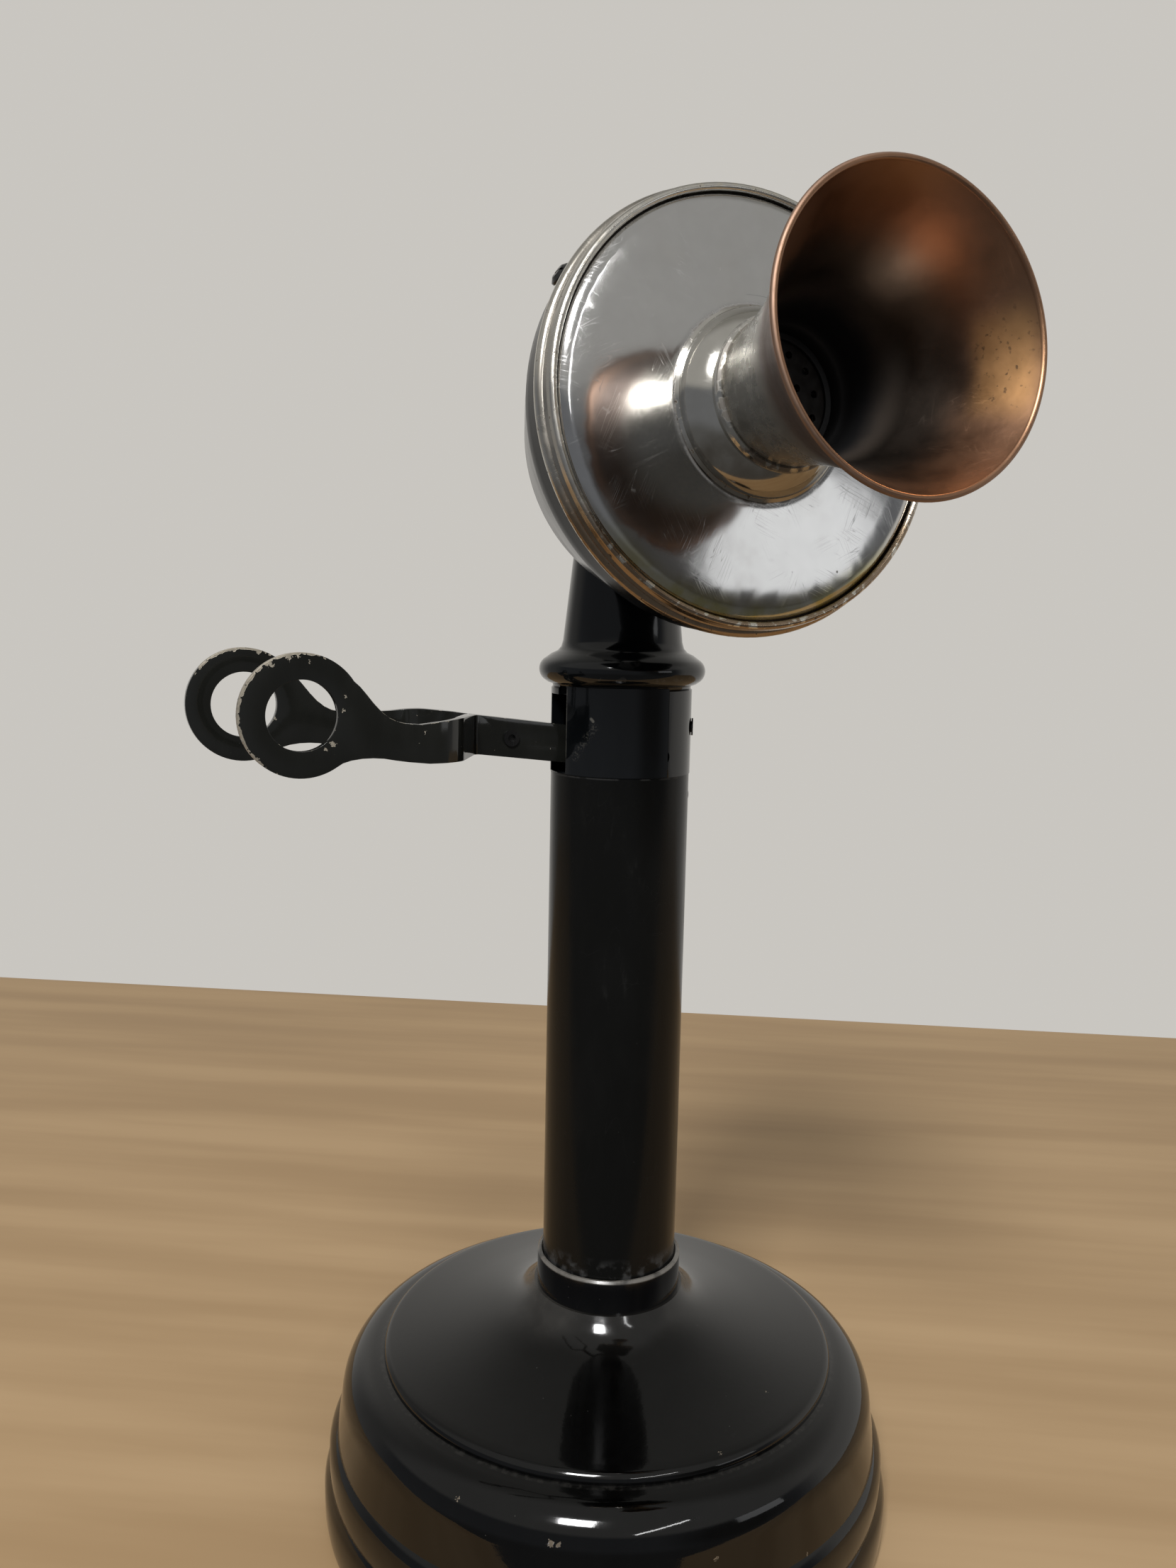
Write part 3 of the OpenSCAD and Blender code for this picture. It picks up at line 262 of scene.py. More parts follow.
# fine hairline scratches in three directions: the thin lines where a stretched noise is in its middle
hairlines, takes, gives = pattern("hairlines", {"Scale": 0.06, "Width": 0.01, "Amount": 0.5}, ["Mask"])
spots = millimetres(hairlines)
families = []
for tipped, angle, pull in ((0.0, 0.3, 7.0), (0.0, 1.25, 9.0), (1.35, 2.2, 6.0)):
    drawn_out = {"Vector": spots, "Rotation": (0, tipped, angle), "Scale": (1, 1 / pull, 1 / pull)}
    drawn_out = wire(hairlines, "Mapping", drawn_out, vector_type="TEXTURE").outputs[0]
    from_middle = minus(hairlines, noise(hairlines, drawn_out, takes.outputs["Scale"], 0.0), 0.5)
    line = ease(hairlines, figure(hairlines, "ABSOLUTE", from_middle), takes.outputs["Width"], 0.0)
    where = noise(hairlines, spots, 0.09, 1.0, (1, 1, 1), shift=(31 * angle, 7, 0))
    families.append(times(hairlines, line, ease(hairlines, where, 0.5, 0.62)))
all_lines = times(hairlines, most(hairlines, families), takes.outputs["Amount"])
hairlines.links.new(all_lines, gives.inputs["Mask"])

# the cloudy film that hands and cloths leave on a gloss finish
wiped_film, takes, gives = pattern("wiped_film", {"Scale": 0.05}, ["Mask"])
spots = millimetres(wiped_film)
wide = noise(wiped_film, spots, takes.outputs["Scale"], 4.0, (1, 1, 0.45), (0.2, 0.5, 0.7))
fine = noise(wiped_film, spots, 0.35, 3.0, (1, 1, 0.3), (0.5, 0.1, 0.2))
film = plus(wiped_film, times(wiped_film, wide, 0.75), times(wiped_film, fine, 0.25))
wiped_film.links.new(ease(wiped_film, film, 0.40, 0.66), gives.inputs["Mask"])

# dust and pin-prick specks
specks, takes, gives = pattern("specks", {"Scale": 0.5, "Size": 0.12, "Share": 0.8}, ["Mask"])
cells = wire(specks, "TexVoronoi", {"Vector": millimetres(specks), "Scale": takes.outputs["Scale"]})
dots = ease(specks, cells.outputs["Distance"], takes.outputs["Size"], 0.0)
lot = wire(specks, "SeparateColor", {"Color": cells.outputs["Color"]}).outputs[0]
kept = figure(specks, "GREATER_THAN", lot, takes.outputs["Share"])
specks.links.new(times(specks, dots, kept), gives.inputs["Mask"])

# enamel broken away: crisp ragged flakes, commoner where Edge is high
flaked_paint, takes, gives = pattern("flaked_paint", {"Edge": 0.0, "Scale": 0.5, "Hold": 0.78}, ["Mask"])
ragged = noise(flaked_paint, millimetres(flaked_paint), takes.outputs["Scale"], 5.0)
flakes = plus(flaked_paint, ragged, times(flaked_paint, takes.outputs["Edge"], 0.30))
hold = takes.outputs["Hold"]
gone = ease(flaked_paint, flakes, hold, plus(flaked_paint, hold, 0.015))
flaked_paint.links.new(gone, gives.inputs["Mask"])


def band(tree, value, low, high, soft):
    """1 from low to high, fading out round both."""
    rises = ease(tree, value, low - soft, low + soft)
    return times(tree, rises, ease(tree, value, high + soft, high - soft))


def chips(tree, spots, places):
    """Small ragged chips, each given by its place and its size in millimetres."""
    push = wire(tree, "TexNoise", {"Vector": spots, "Scale": 1.6, "Detail": 4.0}).outputs["Color"]
    push = vector(tree, "SUBTRACT", push, (0.5, 0.5, 0.5))
    push = wire(tree, "VectorMath", {0: push, "Scale": 2.2}, operation="SCALE").outputs[0]
    pushed = vector(tree, "ADD", spots, push)
    return most(tree, [ease(tree, vector(tree, "DISTANCE", pushed, place), size, size * 0.7)
                       for place, size in places])


def enamel(name, deep, gloss, film_gloss, film_tint, peel=0.03, edges=None, hold=None, flake=None,
           flake_scale=None, marks=None, mark_tint=None, scratch=0.35, dust=0.5, index=1.52):
    """Black baked enamel. edges and marks are functions of (tree, spots) that give a mask; edges goes
    with hold, flake and flake_scale, and marks with mark_tint."""
    made, tree, shader = paint(name)
    spots = millimetres(tree)
    film = use(tree, wiped_film)
    lines = use(tree, hairlines, Scale=0.05, Width=0.006, Amount=scratch)
    dusty = times(tree, use(tree, specks, Scale=0.55, Size=0.10, Share=0.93), dust)
    colour = blend(tree, film, deep, film_tint)
    colour = blend(tree, times(tree, lines, 0.15), colour, (0.06, 0.06, 0.06, 1))
    colour = blend(tree, dusty, colour, (0.09, 0.088, 0.083, 1))
    rough = ease(tree, film, 0.0, 1.0, gloss, film_gloss)
    rough = plus(tree, rough, times(tree, lines, 0.12))
    rough = plus(tree, rough, times(tree, dusty, 0.3))
    if marks:
        worn = marks(tree, spots)
        colour = blend(tree, worn, colour, mark_tint)
        rough = plus(tree, rough, times(tree, worn, 0.25), clamp=True)
    height = times(tree, noise(tree, spots, 0.9, 2.0), 0.1 + peel)
    if edges:
        gone = use(tree, flaked_paint, Edge=edges(tree, spots), Scale=flake_scale, Hold=hold)
        bare = blend(tree, noise(tree, spots, 1.1, 3.0), flake, [0.45 * part for part in flake[:3]] + [1])
        colour = blend(tree, gone, colour, bare)
        rough = ease(tree, gone, 0.0, 1.0, rough, 0.42)
        height = minus(tree, height, gone)
        tree.links.new(times(tree, gone, 0.55), shader.inputs["Metallic"])
    tree.links.new(colour, shader.inputs["Base Color"])
    tree.links.new(rough, shader.inputs["Roughness"])
    shader.inputs["IOR"].default_value = index
    bump = wire(tree, "Bump", {"Height": height, "Strength": 0.35, "Distance": 0.00012})
    tree.links.new(bump.outputs["Normal"], shader.inputs["Normal"])
    return made


def smooth_copy(name, body, finish, crease=0.5, radius=0.0, even=False):
    """A copy of a CAD node that shades as one smooth surface between its creases. With a radius its
    creases are rounded, and the rounded strips are marked as edge; even lets its wide faces stay true."""
    shape = bmesh.new()
    shape.from_mesh(nodes[name].data)
    bmesh.ops.remove_doubles(shape, verts=shape.verts, dist=0.004 * MM)
    edge_mark = shape.faces.layers.float.new("edge")
    if radius or even:
        bmesh.ops.dissolve_limit(shape, angle_limit=math.radians(0.6), verts=shape.verts, edges=shape.edges)
    if radius:
        sharp = [edge for edge in shape.edges if edge.is_manifold and edge.calc_face_angle() > crease]
        done = bmesh.ops.bevel(shape, geom=sharp, offset=radius, offset_type="OFFSET", segments=3,
                               profile=0.5, affect="EDGES", clamp_overlap=True)
        for face in done["faces"]:
            face[edge_mark] = 1.0
        bmesh.ops.triangulate(shape, faces=[face for face in shape.faces if len(face.verts) > 4])
    for face in shape.faces:
        face.smooth = True
    for edge in shape.edges:
        edge.smooth = bool(radius) or (edge.is_manifold and edge.calc_face_angle() < crease)
    mesh = bpy.data.meshes.new(name + "_dressed")
    shape.to_mesh(mesh)
    shape.free()
    if "custom_normal" in mesh.attributes:
        mesh.attributes.remove(mesh.attributes["custom_normal"])
    mesh.materials.clear()
    mesh.materials.append(finish)
    made = bpy.data.objects.new(name + "_dressed", mesh)
    bpy.context.scene.collection.objects.link(made)
    if even:
        made.modifiers.new("even_shading", "WEIGHTED_NORMAL").keep_sharp = True
    if body:
        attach(made, body)
    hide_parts(name)
    return made


# broken enamel: along the foot, on the two ledges, and in single knocks at (x, y, z) with a size;
# dust in the groove inside the ridge, and a film on the cone below the collar; all in millimetres
foot_rise, lower_ledge, upper_ledge = (-1.0, 2.2), (9.4, 10.8), (18.6, 20.2)
groove_ring, groove_rise, film_rise = (54.35, 55.3), (37.8, 38.9), (46.5, 52.0)
base_knocks = [((-36.7, -51.9, 31.9), 0.8), ((-35.4, -52.8, 31.9), 0.5), ((1.5, -52.1, 40.8), 0.4),
               ((-5.9, -63.9, 27.8), 0.45), ((20.7, -39.7, 42.2), 0.3), ((17.1, -62.9, 21.0), 0.5),
               ((-50.8, -35.8, 34.5), 0.5), ((44.0, 45.0, 33.0), 0.8), ((-20.0, 62.0, 20.0), 0.9),
               ((60.0, 26.0, 20.0), 0.7)]


def base_edges(tree, spots):
    height = split(tree, spots)["Z"]
    foot = band(tree, height, *foot_rise, 0.4)
    ledges = most(tree, [band(tree, height, *lower_ledge, 0.5), band(tree, height, *upper_ledge, 0.5)])
    knocks = chips(tree, spots, base_knocks)
    return most(tree, [times(tree, foot, 0.8), times(tree, ledges, 0.45), times(tree, knocks, 3.0)])


def base_marks(tree, spots):
    """Dust in the groove inside the ridge, and a dull film round the collar that is wiped in front."""
    place = split(tree, spots)
    out = vector(tree, "LENGTH", vector(tree, "MULTIPLY", spots, (1, 1, 0)))
    groove = times(tree, band(tree, out, *groove_ring, 0.25), band(tree, place["Z"], *groove_rise, 0.2))
    groove = times(tree, groove, ease(tree, noise(tree, spots, 0.6, 5.0), 0.44, 0.66, 0.05, 0.5))
    patchy = ease(tree, noise(tree, spots, 0.25, 3.0), 0.36, 0.70, 0.7, 1.0)
    dull = times(tree, ease(tree, place["Z"], *film_rise), patchy)
    dull = times(tree, dull, ease(tree, place["Y"], -16.0, -8.0, 0.25, 1.0))
    return most(tree, [times(tree, groove, 0.8), dull])


base_enamel = enamel("gloss_base_enamel", (0.0004, 0.0004, 0.0004, 1), 0.045, 0.08,
                     (0.0012, 0.0012, 0.0012, 1), edges=base_edges, hold=0.89, flake=(0.30, 0.25, 0.19, 1),
                     flake_scale=0.42, marks=base_marks, mark_tint=(0.030, 0.028, 0.025, 1),
                     scratch=0.15, dust=0.6)
smooth_copy("base_shell", "stand", base_enamel)

# ---- felt, bottom plate, ballast and bottom screws ----
# Under the shell: a pressed wool felt on a steel bottom plate, a cast iron ring for weight, and three
# screws that pull all of it up against posts in the shell.
def coat(names, finish):
    """Puts a finish on the material slots of CAD nodes."""
    for name in names:
        for slot in nodes[name].material_slots:
            slot.material = finish


def bare_metal(name, dark, light, rough, rough_span, grain=(1, 1, 1), grain_scale=0.8, depth=0.00004,
               metallic=1.0):
    """Plain unplated metal with tool or rolling marks along one direction."""
    made, tree, shader = paint(name)
    spots = millimetres(tree)
    marks = noise(tree, spots, grain_scale, 4.0, grain)
    stain = noise(tree, spots, 0.07, 3.0)
    tone = blend(tree, ease(tree, stain, 0.35, 0.7), dark, light)
    tree.links.new(blend(tree, times(tree, marks, 0.3), tone, dark), shader.inputs["Base Color"])
    mixed = plus(tree, times(tree, marks, 0.5), times(tree, stain, 0.5))
    tree.links.new(ease(tree, mixed, 0.3, 0.7, rough, rough + rough_span), shader.inputs["Roughness"])
    shader.inputs["Metallic"].default_value = metallic
    bump = wire(tree, "Bump", {"Height": marks, "Strength": 0.5, "Distance": depth})
    tree.links.new(bump.outputs["Normal"], shader.inputs["Normal"])
    return made


felt, tree, shader = paint("green_grey_felt")
fibres = noise(tree, millimetres(tree), 1.6, 5.0)
felt_tone = blend(tree, fibres, (0.020, 0.026, 0.018, 1), (0.07, 0.085, 0.06, 1))
tree.links.new(felt_tone, shader.inputs["Base Color"])
shader.inputs["Roughness"].default_value = 0.95
shader.inputs["Specular IOR Level"].default_value = 0.1
bump = wire(tree, "Bump", {"Height": fibres, "Strength": 0.8, "Distance": 0.0004})
tree.links.new(bump.outputs["Normal"], shader.inputs["Normal"])
coat(["base_felt"], felt)
bright_steel = bare_metal("bright_steel", (0.30, 0.29, 0.28, 1), (0.56, 0.56, 0.55, 1), 0.24, 0.22, (1, 1, 6))
coat(["base_plate", "base_screws"], bright_steel)
cast_iron = bare_metal("cast_iron", (0.03, 0.029, 0.028, 1), (0.075, 0.07, 0.066, 1), 0.6, 0.25,
                       grain_scale=1.5, depth=0.0004, metallic=0.4)
coat(["base_ballast"], cast_iron)

# ---- cord bushings and terminal block ----
# Two hard rubber bushings line the cord holes at the back of the shell, and a small varnished block
# with four brass binding screws lies on the ballast ring inside.
def moulded(name, colour, warm, gloss, gloss_span):
    made, tree, shader = paint(name)
    spots = millimetres(tree)
    tree.links.new(blend(tree, noise(tree, spots, 0.25, 3.0), colour, warm), shader.inputs["Base Color"])
    rough = ease(tree, noise(tree, spots, 0.6, 3.0), 0.35, 0.65, gloss, gloss + gloss_span)
    tree.links.new(rough, shader.inputs["Roughness"])
    bump = wire(tree, "Bump", {"Height": noise(tree, spots, 2.5, 3.0), "Strength": 0.25, "Distance": 0.00005})
    tree.links.new(bump.outputs["Normal"], shader.inputs["Normal"])
    return made


hard_rubber = moulded("hard_rubber", (0.012, 0.010, 0.009, 1), (0.028, 0.020, 0.014, 1), 0.28, 0.2)
coat(["line_cord_bushing", "receiver_cord_bushing"], hard_rubber)
varnished, tree, shader = paint("varnished_block")
rings = noise(tree, millimetres(tree), 0.35, 6.0, (0.25, 3.0, 3.0))
tree.links.new(blend(tree, ease(tree, rings, 0.35, 0.65), (0.085, 0.032, 0.014, 1), (0.20, 0.085, 0.036, 1)),
               shader.inputs["Base Color"])
tree.links.new(ease(tree, rings, 0.3, 0.7, 0.24, 0.42), shader.inputs["Roughness"])
coat(["terminal_block"], varnished)
turned_brass = bare_metal("turned_brass", (0.33, 0.22, 0.08, 1), (0.72, 0.53, 0.24, 1), 0.18, 0.2, (1, 1, 8))
coat(["terminal_screws"], turned_brass)

# ---- stem, foot collar and the fixings in the base ----
# A drawn tube in satin black, pinned over a threaded foot; a washer and a nut under the shell hold it.
# A thin rolled collar covers the joint with the base.
collar_top, tube_top = 62.0, 179.2


def stem_marks(tree, spots):
    """Bare spots at the seam with the head, wiped clouds high up and scuffs above the collar."""
    height = split(tree, spots)["Z"]
    seam = times(tree, band(tree, height, tube_top - 0.45, tube_top + 0.4, 0.15),
                 ease(tree, noise(tree, spots, 0.25, 2.0), 0.46, 0.58))
    cloudy = ease(tree, noise(tree, spots, 0.09, 5.0, (1, 1, 0.6), (0.5, 0.3, 0.2)), 0.56, 0.74)
    cloudy = times(tree, cloudy, band(tree, height, 128.0, 172.0, 10.0))
    wipes = ease(tree, noise(tree, spots, 0.5, 4.0, (1, 1, 0.25), (0.9, 0.4, 0.3)), 0.5, 0.72)
    wipes = times(tree, wipes, cloudy)
    foot = times(tree, band(tree, height, collar_top - 1.0, collar_top + 3.5, 1.8),
                 ease(tree, noise(tree, spots, 0.35, 4.0), 0.44, 0.64))
    return most(tree, [times(tree, seam, 0.4), times(tree, wipes, 0.3), times(tree, foot, 0.6)])


satin_stem = enamel("satin_stem_enamel", (0.0052, 0.0052, 0.0048, 1), 0.17, 0.26, (0.0064, 0.0064, 0.0060, 1),
                    peel=0.1, marks=stem_marks, mark_tint=(0.07, 0.07, 0.069, 1), scratch=0.3, dust=0.25,
                    index=1.25)
coat(["stem_tube"], satin_stem)


def collar_marks(tree, spots):
    rim = band(tree, split(tree, spots)["Z"], collar_top - 0.65, collar_top + 0.3, 0.2)
    return times(tree, rim, ease(tree, noise(tree, spots, 0.2, 4.0), 0.34, 0.6, 0.25, 0.95))


collar_enamel = enamel("collar_enamel", (0.003, 0.003, 0.0033, 1), 0.09, 0.18, (0.0055, 0.0055, 0.0055, 1),
                       marks=collar_marks, mark_tint=(0.15, 0.14, 0.125, 1), scratch=0.2, dust=0.4)
coat(["foot_collar"], collar_enamel)
coat(["stem_foot", "stem_washer", "stem_nut"], bright_steel)

# ---- head casting, cover plate and their screws ----
# The cast head: a sleeve level with the stem, a round bead, a tapering neck and the lug that the
# transmitter tilts on. A curved plate closes the side of the switch opening; its corner is chipped
# and a trail of small grey scuffs runs down from it.
worn_rise, bruised_rise = (200.4, 201.6), (203.5, 206.5)  # heights on the bead


def head_marks(tree, spots):
    height = split(tree, spots)["Z"]
    bead_wear = times(tree, band(tree, height, *worn_rise, 0.3),
                      ease(tree, noise(tree, spots, 0.5, 3.0), 0.56, 0.64))
    bruises = times(tree, band(tree, height, *bruised_rise, 1.0),
                    ease(tree, noise(tree, spots, 0.2, 4.0), 0.62, 0.7))
    return most(tree, [times(tree, bead_wear, 0.2), times(tree, bruises, 0.15)])


head_enamel = enamel("head_enamel", (0.0026, 0.0032, 0.0038, 1), 0.07, 0.12, (0.0042, 0.0050, 0.0058, 1),
                     marks=head_marks, mark_tint=(0.16, 0.155, 0.145, 1), scratch=0.15, dust=0.3)
smooth_copy("head_casting", "stand", head_enamel)


def scuff(tree, spots, start, end, half, soft):
    """A mask along the line from start to end, given in millimetres."""
    start, end = Vector(start), Vector(end)
    run = end - start
    away = vector(tree, "SUBTRACT", spots, start)
    along = vector(tree, "DOT_PRODUCT", away, run / max(run.length_squared, 1e-6))
    along = plus(tree, along, 0.0, clamp=True)
    foot = wire(tree, "VectorMath", {0: run, "Scale": along}, operation="SCALE").outputs[0]
    return ease(tree, vector(tree, "DISTANCE", away, foot), half + soft, half)


# the cover's scuffs, from where to where down its curved side
trail_start, trail_end = (-11.9, -11.0, 190.2), (-14.6, -6.9, 183.4)
chip_start, chip_end = (-12.4, -10.4, 192.1), (-12.1, -10.8, 191.6)
lip_start, lip_end = (-15.66, -4.15, 180.0), (-15.66, -4.15, 198.5)


def cover_marks(tree, spots):
    broken = ease(tree, noise(tree, spots, 2.2, 5.0), 0.50, 0.60)
    trail = times(tree, scuff(tree, spots, trail_start, trail_end, 0.1, 1.3), broken)
    chip = scuff(tree, spots, chip_start, chip_end, 0.15, 0.3)
    lip = times(tree, scuff(tree, spots, lip_start, lip_end, 0.12, 0.3),
                ease(tree, noise(tree, spots, 0.4, 3.0), 0.35, 0.6))
    return most(tree, [times(tree, trail, 0.16), times(tree, chip, 0.55), times(tree, lip, 0.35)])


cover_enamel = enamel("cover_enamel", (0.0026, 0.0032, 0.0038, 1), 0.08, 0.13, (0.0042, 0.0050, 0.0058, 1),
                      marks=cover_marks, mark_tint=(0.20, 0.19, 0.165, 1), scratch=0.15, dust=0.3)
coat(["head_cover"], cover_enamel)
blacked_steel = enamel("blacked_steel", (0.006, 0.006, 0.0063, 1), 0.22, 0.36, (0.014, 0.013, 0.012, 1),
                       scratch=0.6)
coat(["head_screws", "side_screw"], blacked_steel)

# ---- switch hook ----
# Two pressed steel halves riveted back to back: a bar into the head, a fork whose prongs end in eyes.
# They are dipped in black enamel that rounds their edges, and the enamel is worn through to pale
# nickel along the edges, mostly round the eyes and on top of the fork.
eye_height = 194.2
eye_rim_low, eye_rim_high = 11.55, 11.95  # from the middle of the eye
prong_near, prong_far = 12.0, 30.0  # from the middle of the eye towards the stem
hook_edge_round = 0.92 * MM


def hook_wear(reach, middle, spread, knocks):
    """Wear of one half: a rubbed line on the rim of its eye, reach away from the stem, and knocks."""
    def edges(tree, spots):
        place = split(tree, spots)
        across = plus(tree, place["X"], reach)
        rise = minus(tree, place["Z"], eye_height)
        out = figure(tree, "SQRT", plus(tree, times(tree, across, across), times(tree, rise, rise)))
        turn = figure(tree, "ARCTAN2", rise, times(tree, across, -1.0))
        from_middle = figure(tree, "ABSOLUTE", minus(tree, turn, middle))
        rubbed = times(tree, ease(tree, from_middle, spread + 0.5, spread - 0.1),
                       ease(tree, out, eye_rim_low, eye_rim_high))
        strip = wire(tree, "Attribute", attribute_name="edge").outputs["Fac"]
        prong = times(tree, strip, band(tree, across, prong_near, prong_far, 2.0))
        prong = times(tree, prong, ease(tree, rise, -3.4, -1.4))
        return most(tree, [times(tree, rubbed, 1.15), times(tree, strip, 0.34), times(tree, prong, 0.85),
                           times(tree, chips(tree, spots, knocks), 2.0)])
    return edges


front_knocks = [((-79.6, -17.6, 205.6), 0.75), ((-77.9, -17.6, 205.9), 0.55), ((-83.0, -17.6, 204.0), 0.6),
                ((-68.6, -17.6, 197.9), 0.35), ((-69.0, -17.6, 195.2), 0.4), ((-71.2, -17.6, 188.6), 0.6),
                ((-72.4, -17.6, 187.7), 0.4), ((-85.9, -17.2, 186.0), 0.5), ((-81.9, -17.6, 182.9), 0.4),
                ((-75.5, -17.6, 204.6), 0.3), ((-52.6, -17.6, 190.6), 0.3)]
rear_knocks = [((-84.5, 15.6, 206.1), 0.7), ((-79.3, 15.6, 205.8), 0.7), ((-91.6, 15.6, 202.0), 0.45),
               ((-76.2, 15.6, 191.0), 0.35), ((-94.4, 15.6, 196.6), 0.3)]
for name, reach, middle, spread, knocks in (("hook_front_half", 77.1, 0.45, 1.25, front_knocks),
                                            ("hook_rear_half", 82.5, 1.35, 0.55, rear_knocks)):
    worn_enamel = enamel(name + "_enamel", (0.0095, 0.0098, 0.0085, 1), 0.08, 0.16,
                         (0.0125, 0.0128, 0.0112, 1), edges=hook_wear(reach, middle, spread, knocks),
                         hold=0.745, flake=(0.56, 0.50, 0.40, 1), flake_scale=0.9, scratch=0.3, dust=0.4)
    smooth_copy(name, "hook", worn_enamel, crease=0.6, radius=hook_edge_round)
coat(["hook_rivets"], blacked_steel)

# ---- switch works inside the head ----
# The pins, the arm that the bar drives, its hard rubber stud, the return spring and the pile of
# contact leaves on their bracket.
coat(["hook_pivot_pin", "hook_stop_pin", "hook_arm", "contact_bracket", "bracket_screws"], bright_steel)
coat(["contact_insulators", "hook_arm_stud"], hard_rubber)
coat(["contact_screws"], turned_brass)
spring_bronze = bare_metal("spring_bronze", (0.36, 0.17, 0.07, 1), (0.70, 0.38, 0.19, 1), 0.22, 0.2,
                           (1, 1, 0.2), 1.2)

# each leaf is clamped in the pile; its copy is cut across at a row of heights
bend_heights = (187.5, 184.0, 180.5, 177.0, 173.5, 170.0)
for name, free_end in (("contact_main_spring", 0.1625), ("contact_make_spring", 0.120)):
    leaf = smooth_copy(name, None, spring_bronze)
    shape = bmesh.new()
    shape.from_mesh(leaf.data)
    for height in bend_heights:
        bmesh.ops.bisect_plane(shape, geom=shape.verts[:] + shape.edges[:] + shape.faces[:], dist=0.001 * MM,
                               plane_co=(0, 0, height * MM), plane_no=(0, 0, 1))
    shape.to_mesh(leaf.data)
    shape.free()
    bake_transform(leaf)

# the return spring under the bar: seven turns of round wire, closed at both ends
coil_x, coil_r, wire_r, coil_low, coil_high, turns = -8.0, 2.22, 0.34, 169.2, 180.26, 7
turn_steps, wire_sides = 28, 10
closed_pitch = 2.06 * wire_r
open_pitch = (coil_high - coil_low - 2 * wire_r - 2 * closed_pitch) / (turns - 2)
coil_shape = bmesh.new()
rings = []
for k in range(turns * turn_steps + 1):
    turn = k / turn_steps
    rise = closed_pitch * min(turn, 1)
    rise += open_pitch * min(max(turn - 1, 0), turns - 2)
    rise += closed_pitch * max(turn - turns + 1, 0)
    angle = math.tau * turn
    outward = Vector((math.cos(angle), math.sin(angle), 0))
    middle = Vector((coil_x, 0, coil_low + wire_r + rise)) + outward * coil_r
    ring = []
    for j in range(wire_sides):
        side = math.tau * j / wire_sides
        skin = (outward * math.cos(side) + Vector((0, 0, math.sin(side)))) * wire_r
        ring.append(coil_shape.verts.new((middle + skin) * MM))
    rings.append(ring)
for lower, upper in zip(rings, rings[1:]):
    for j in range(wire_sides):
        after = (j + 1) % wire_sides
        coil_shape.faces.new((lower[j], upper[j], upper[after], lower[after])).smooth = True
coil_shape.faces.new(rings[0])
coil_shape.faces.new(rings[-1][::-1])
bmesh.ops.recalc_face_normals(coil_shape, faces=coil_shape.faces[:])
coil_mesh = bpy.data.meshes.new("return_spring_coil")
coil_shape.to_mesh(coil_mesh)
coil_shape.free()
coil_mesh.materials.append(spring_bronze)
coil = bpy.data.objects.new("return_spring_coil", coil_mesh)
bpy.context.scene.collection.objects.link(coil)
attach(coil, "stand")
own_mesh(coil)
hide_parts("hook_return_spring")

# ---- tilt bracket, its bolt and the back cup ----
# A cast bracket holds the spun cup on the neck's lug, clamped by a blacked bolt and nut. Bracket and
# cup are in black enamel, and the cup's shines only softly.
pivot_height, lean = 247.5, math.radians(83.5)  # of the tilt pivot, and of the transmitter at rest


def frame_of_transmitter(tree):
    """Across, up and along the transmitter's axis from its tilt pivot, in millimetres."""
    turned = {"Vector": millimetres(tree), "Location": (0, 0, pivot_height), "Rotation": (lean, 0, 0)}
    return wire(tree, "Mapping", turned, vector_type="TEXTURE").outputs[0]


around_axis, takes, gives = pattern("around_axis", {}, ["Out", "Turn", "Along"])
place = split(around_axis, frame_of_transmitter(around_axis))
across, rise = place["X"], place["Y"]
squares = plus(around_axis, times(around_axis, across, across), times(around_axis, rise, rise))
around_axis.links.new(figure(around_axis, "SQRT", squares), gives.inputs["Out"])
around_axis.links.new(figure(around_axis, "ARCTAN2", rise, across), gives.inputs["Turn"])
around_axis.links.new(place["Z"], gives.inputs["Along"])

bracket_enamel = enamel("bracket_enamel", (0.004, 0.004, 0.0042, 1), 0.14, 0.26,
                        (0.008, 0.008, 0.0082, 1), peel=0.4)
coat(["tilt_bracket"], bracket_enamel)
coat(["tilt_bolt", "tilt_nut"], blacked_steel)
cup_enamel = enamel("cup_enamel", (0.0026, 0.0028, 0.0034, 1), 0.16, 0.24, (0.0045, 0.0048, 0.0055, 1),
                    scratch=0.15, dust=0.35, index=1.15)
smooth_copy("back_cup", "transmitter", cup_enamel)

# ---- bezel ring and rim screws ----
# The beaded ring that holds the face in the cup: nickel that is still silver above and worn to
# bronze along the bottom, with nicks and dark grime in the grooves between its beads. Two blacked
# screws through the cup's wall hold its skirt.
dull_flank, groove_middle = (49.6, 52.0), (50.75, 51.75)  # along the axis, from the tilt pivot
back_crest, front_crest = (48.6, 49.0), (53.3, 53.8)

# fine straight scratches in the plane of the face, in four directions
wipe_lines, takes, gives = pattern("wipe_lines", {"Amount": 0.5}, ["Mask"])
families = []
for angle, length in ((0.45, 16.0), (1.15, 12.0), (2.05, 20.0), (2.75, 14.0)):
    drawn_out = {"Vector": frame_of_transmitter(wipe_lines), "Location": (31 * angle, 7, 0),
                 "Rotation": (0, 0, angle), "Scale": (length, 0.7, 6)}
    drawn_out = wire(wipe_lines, "Mapping", drawn_out, vector_type="TEXTURE").outputs[0]
    from_middle = minus(wipe_lines, noise(wipe_lines, drawn_out, 1.0, 0.0), 0.5)
    line = ease(wipe_lines, figure(wipe_lines, "ABSOLUTE", from_middle), 0.022, 0.0)
    where = noise(wipe_lines, drawn_out, 0.8, 1.0, (2.0, 0.13, 0.5), shift=(17 * angle, 3, 1))
    families.append(times(wipe_lines, line, ease(wipe_lines, where, 0.54, 0.66)))
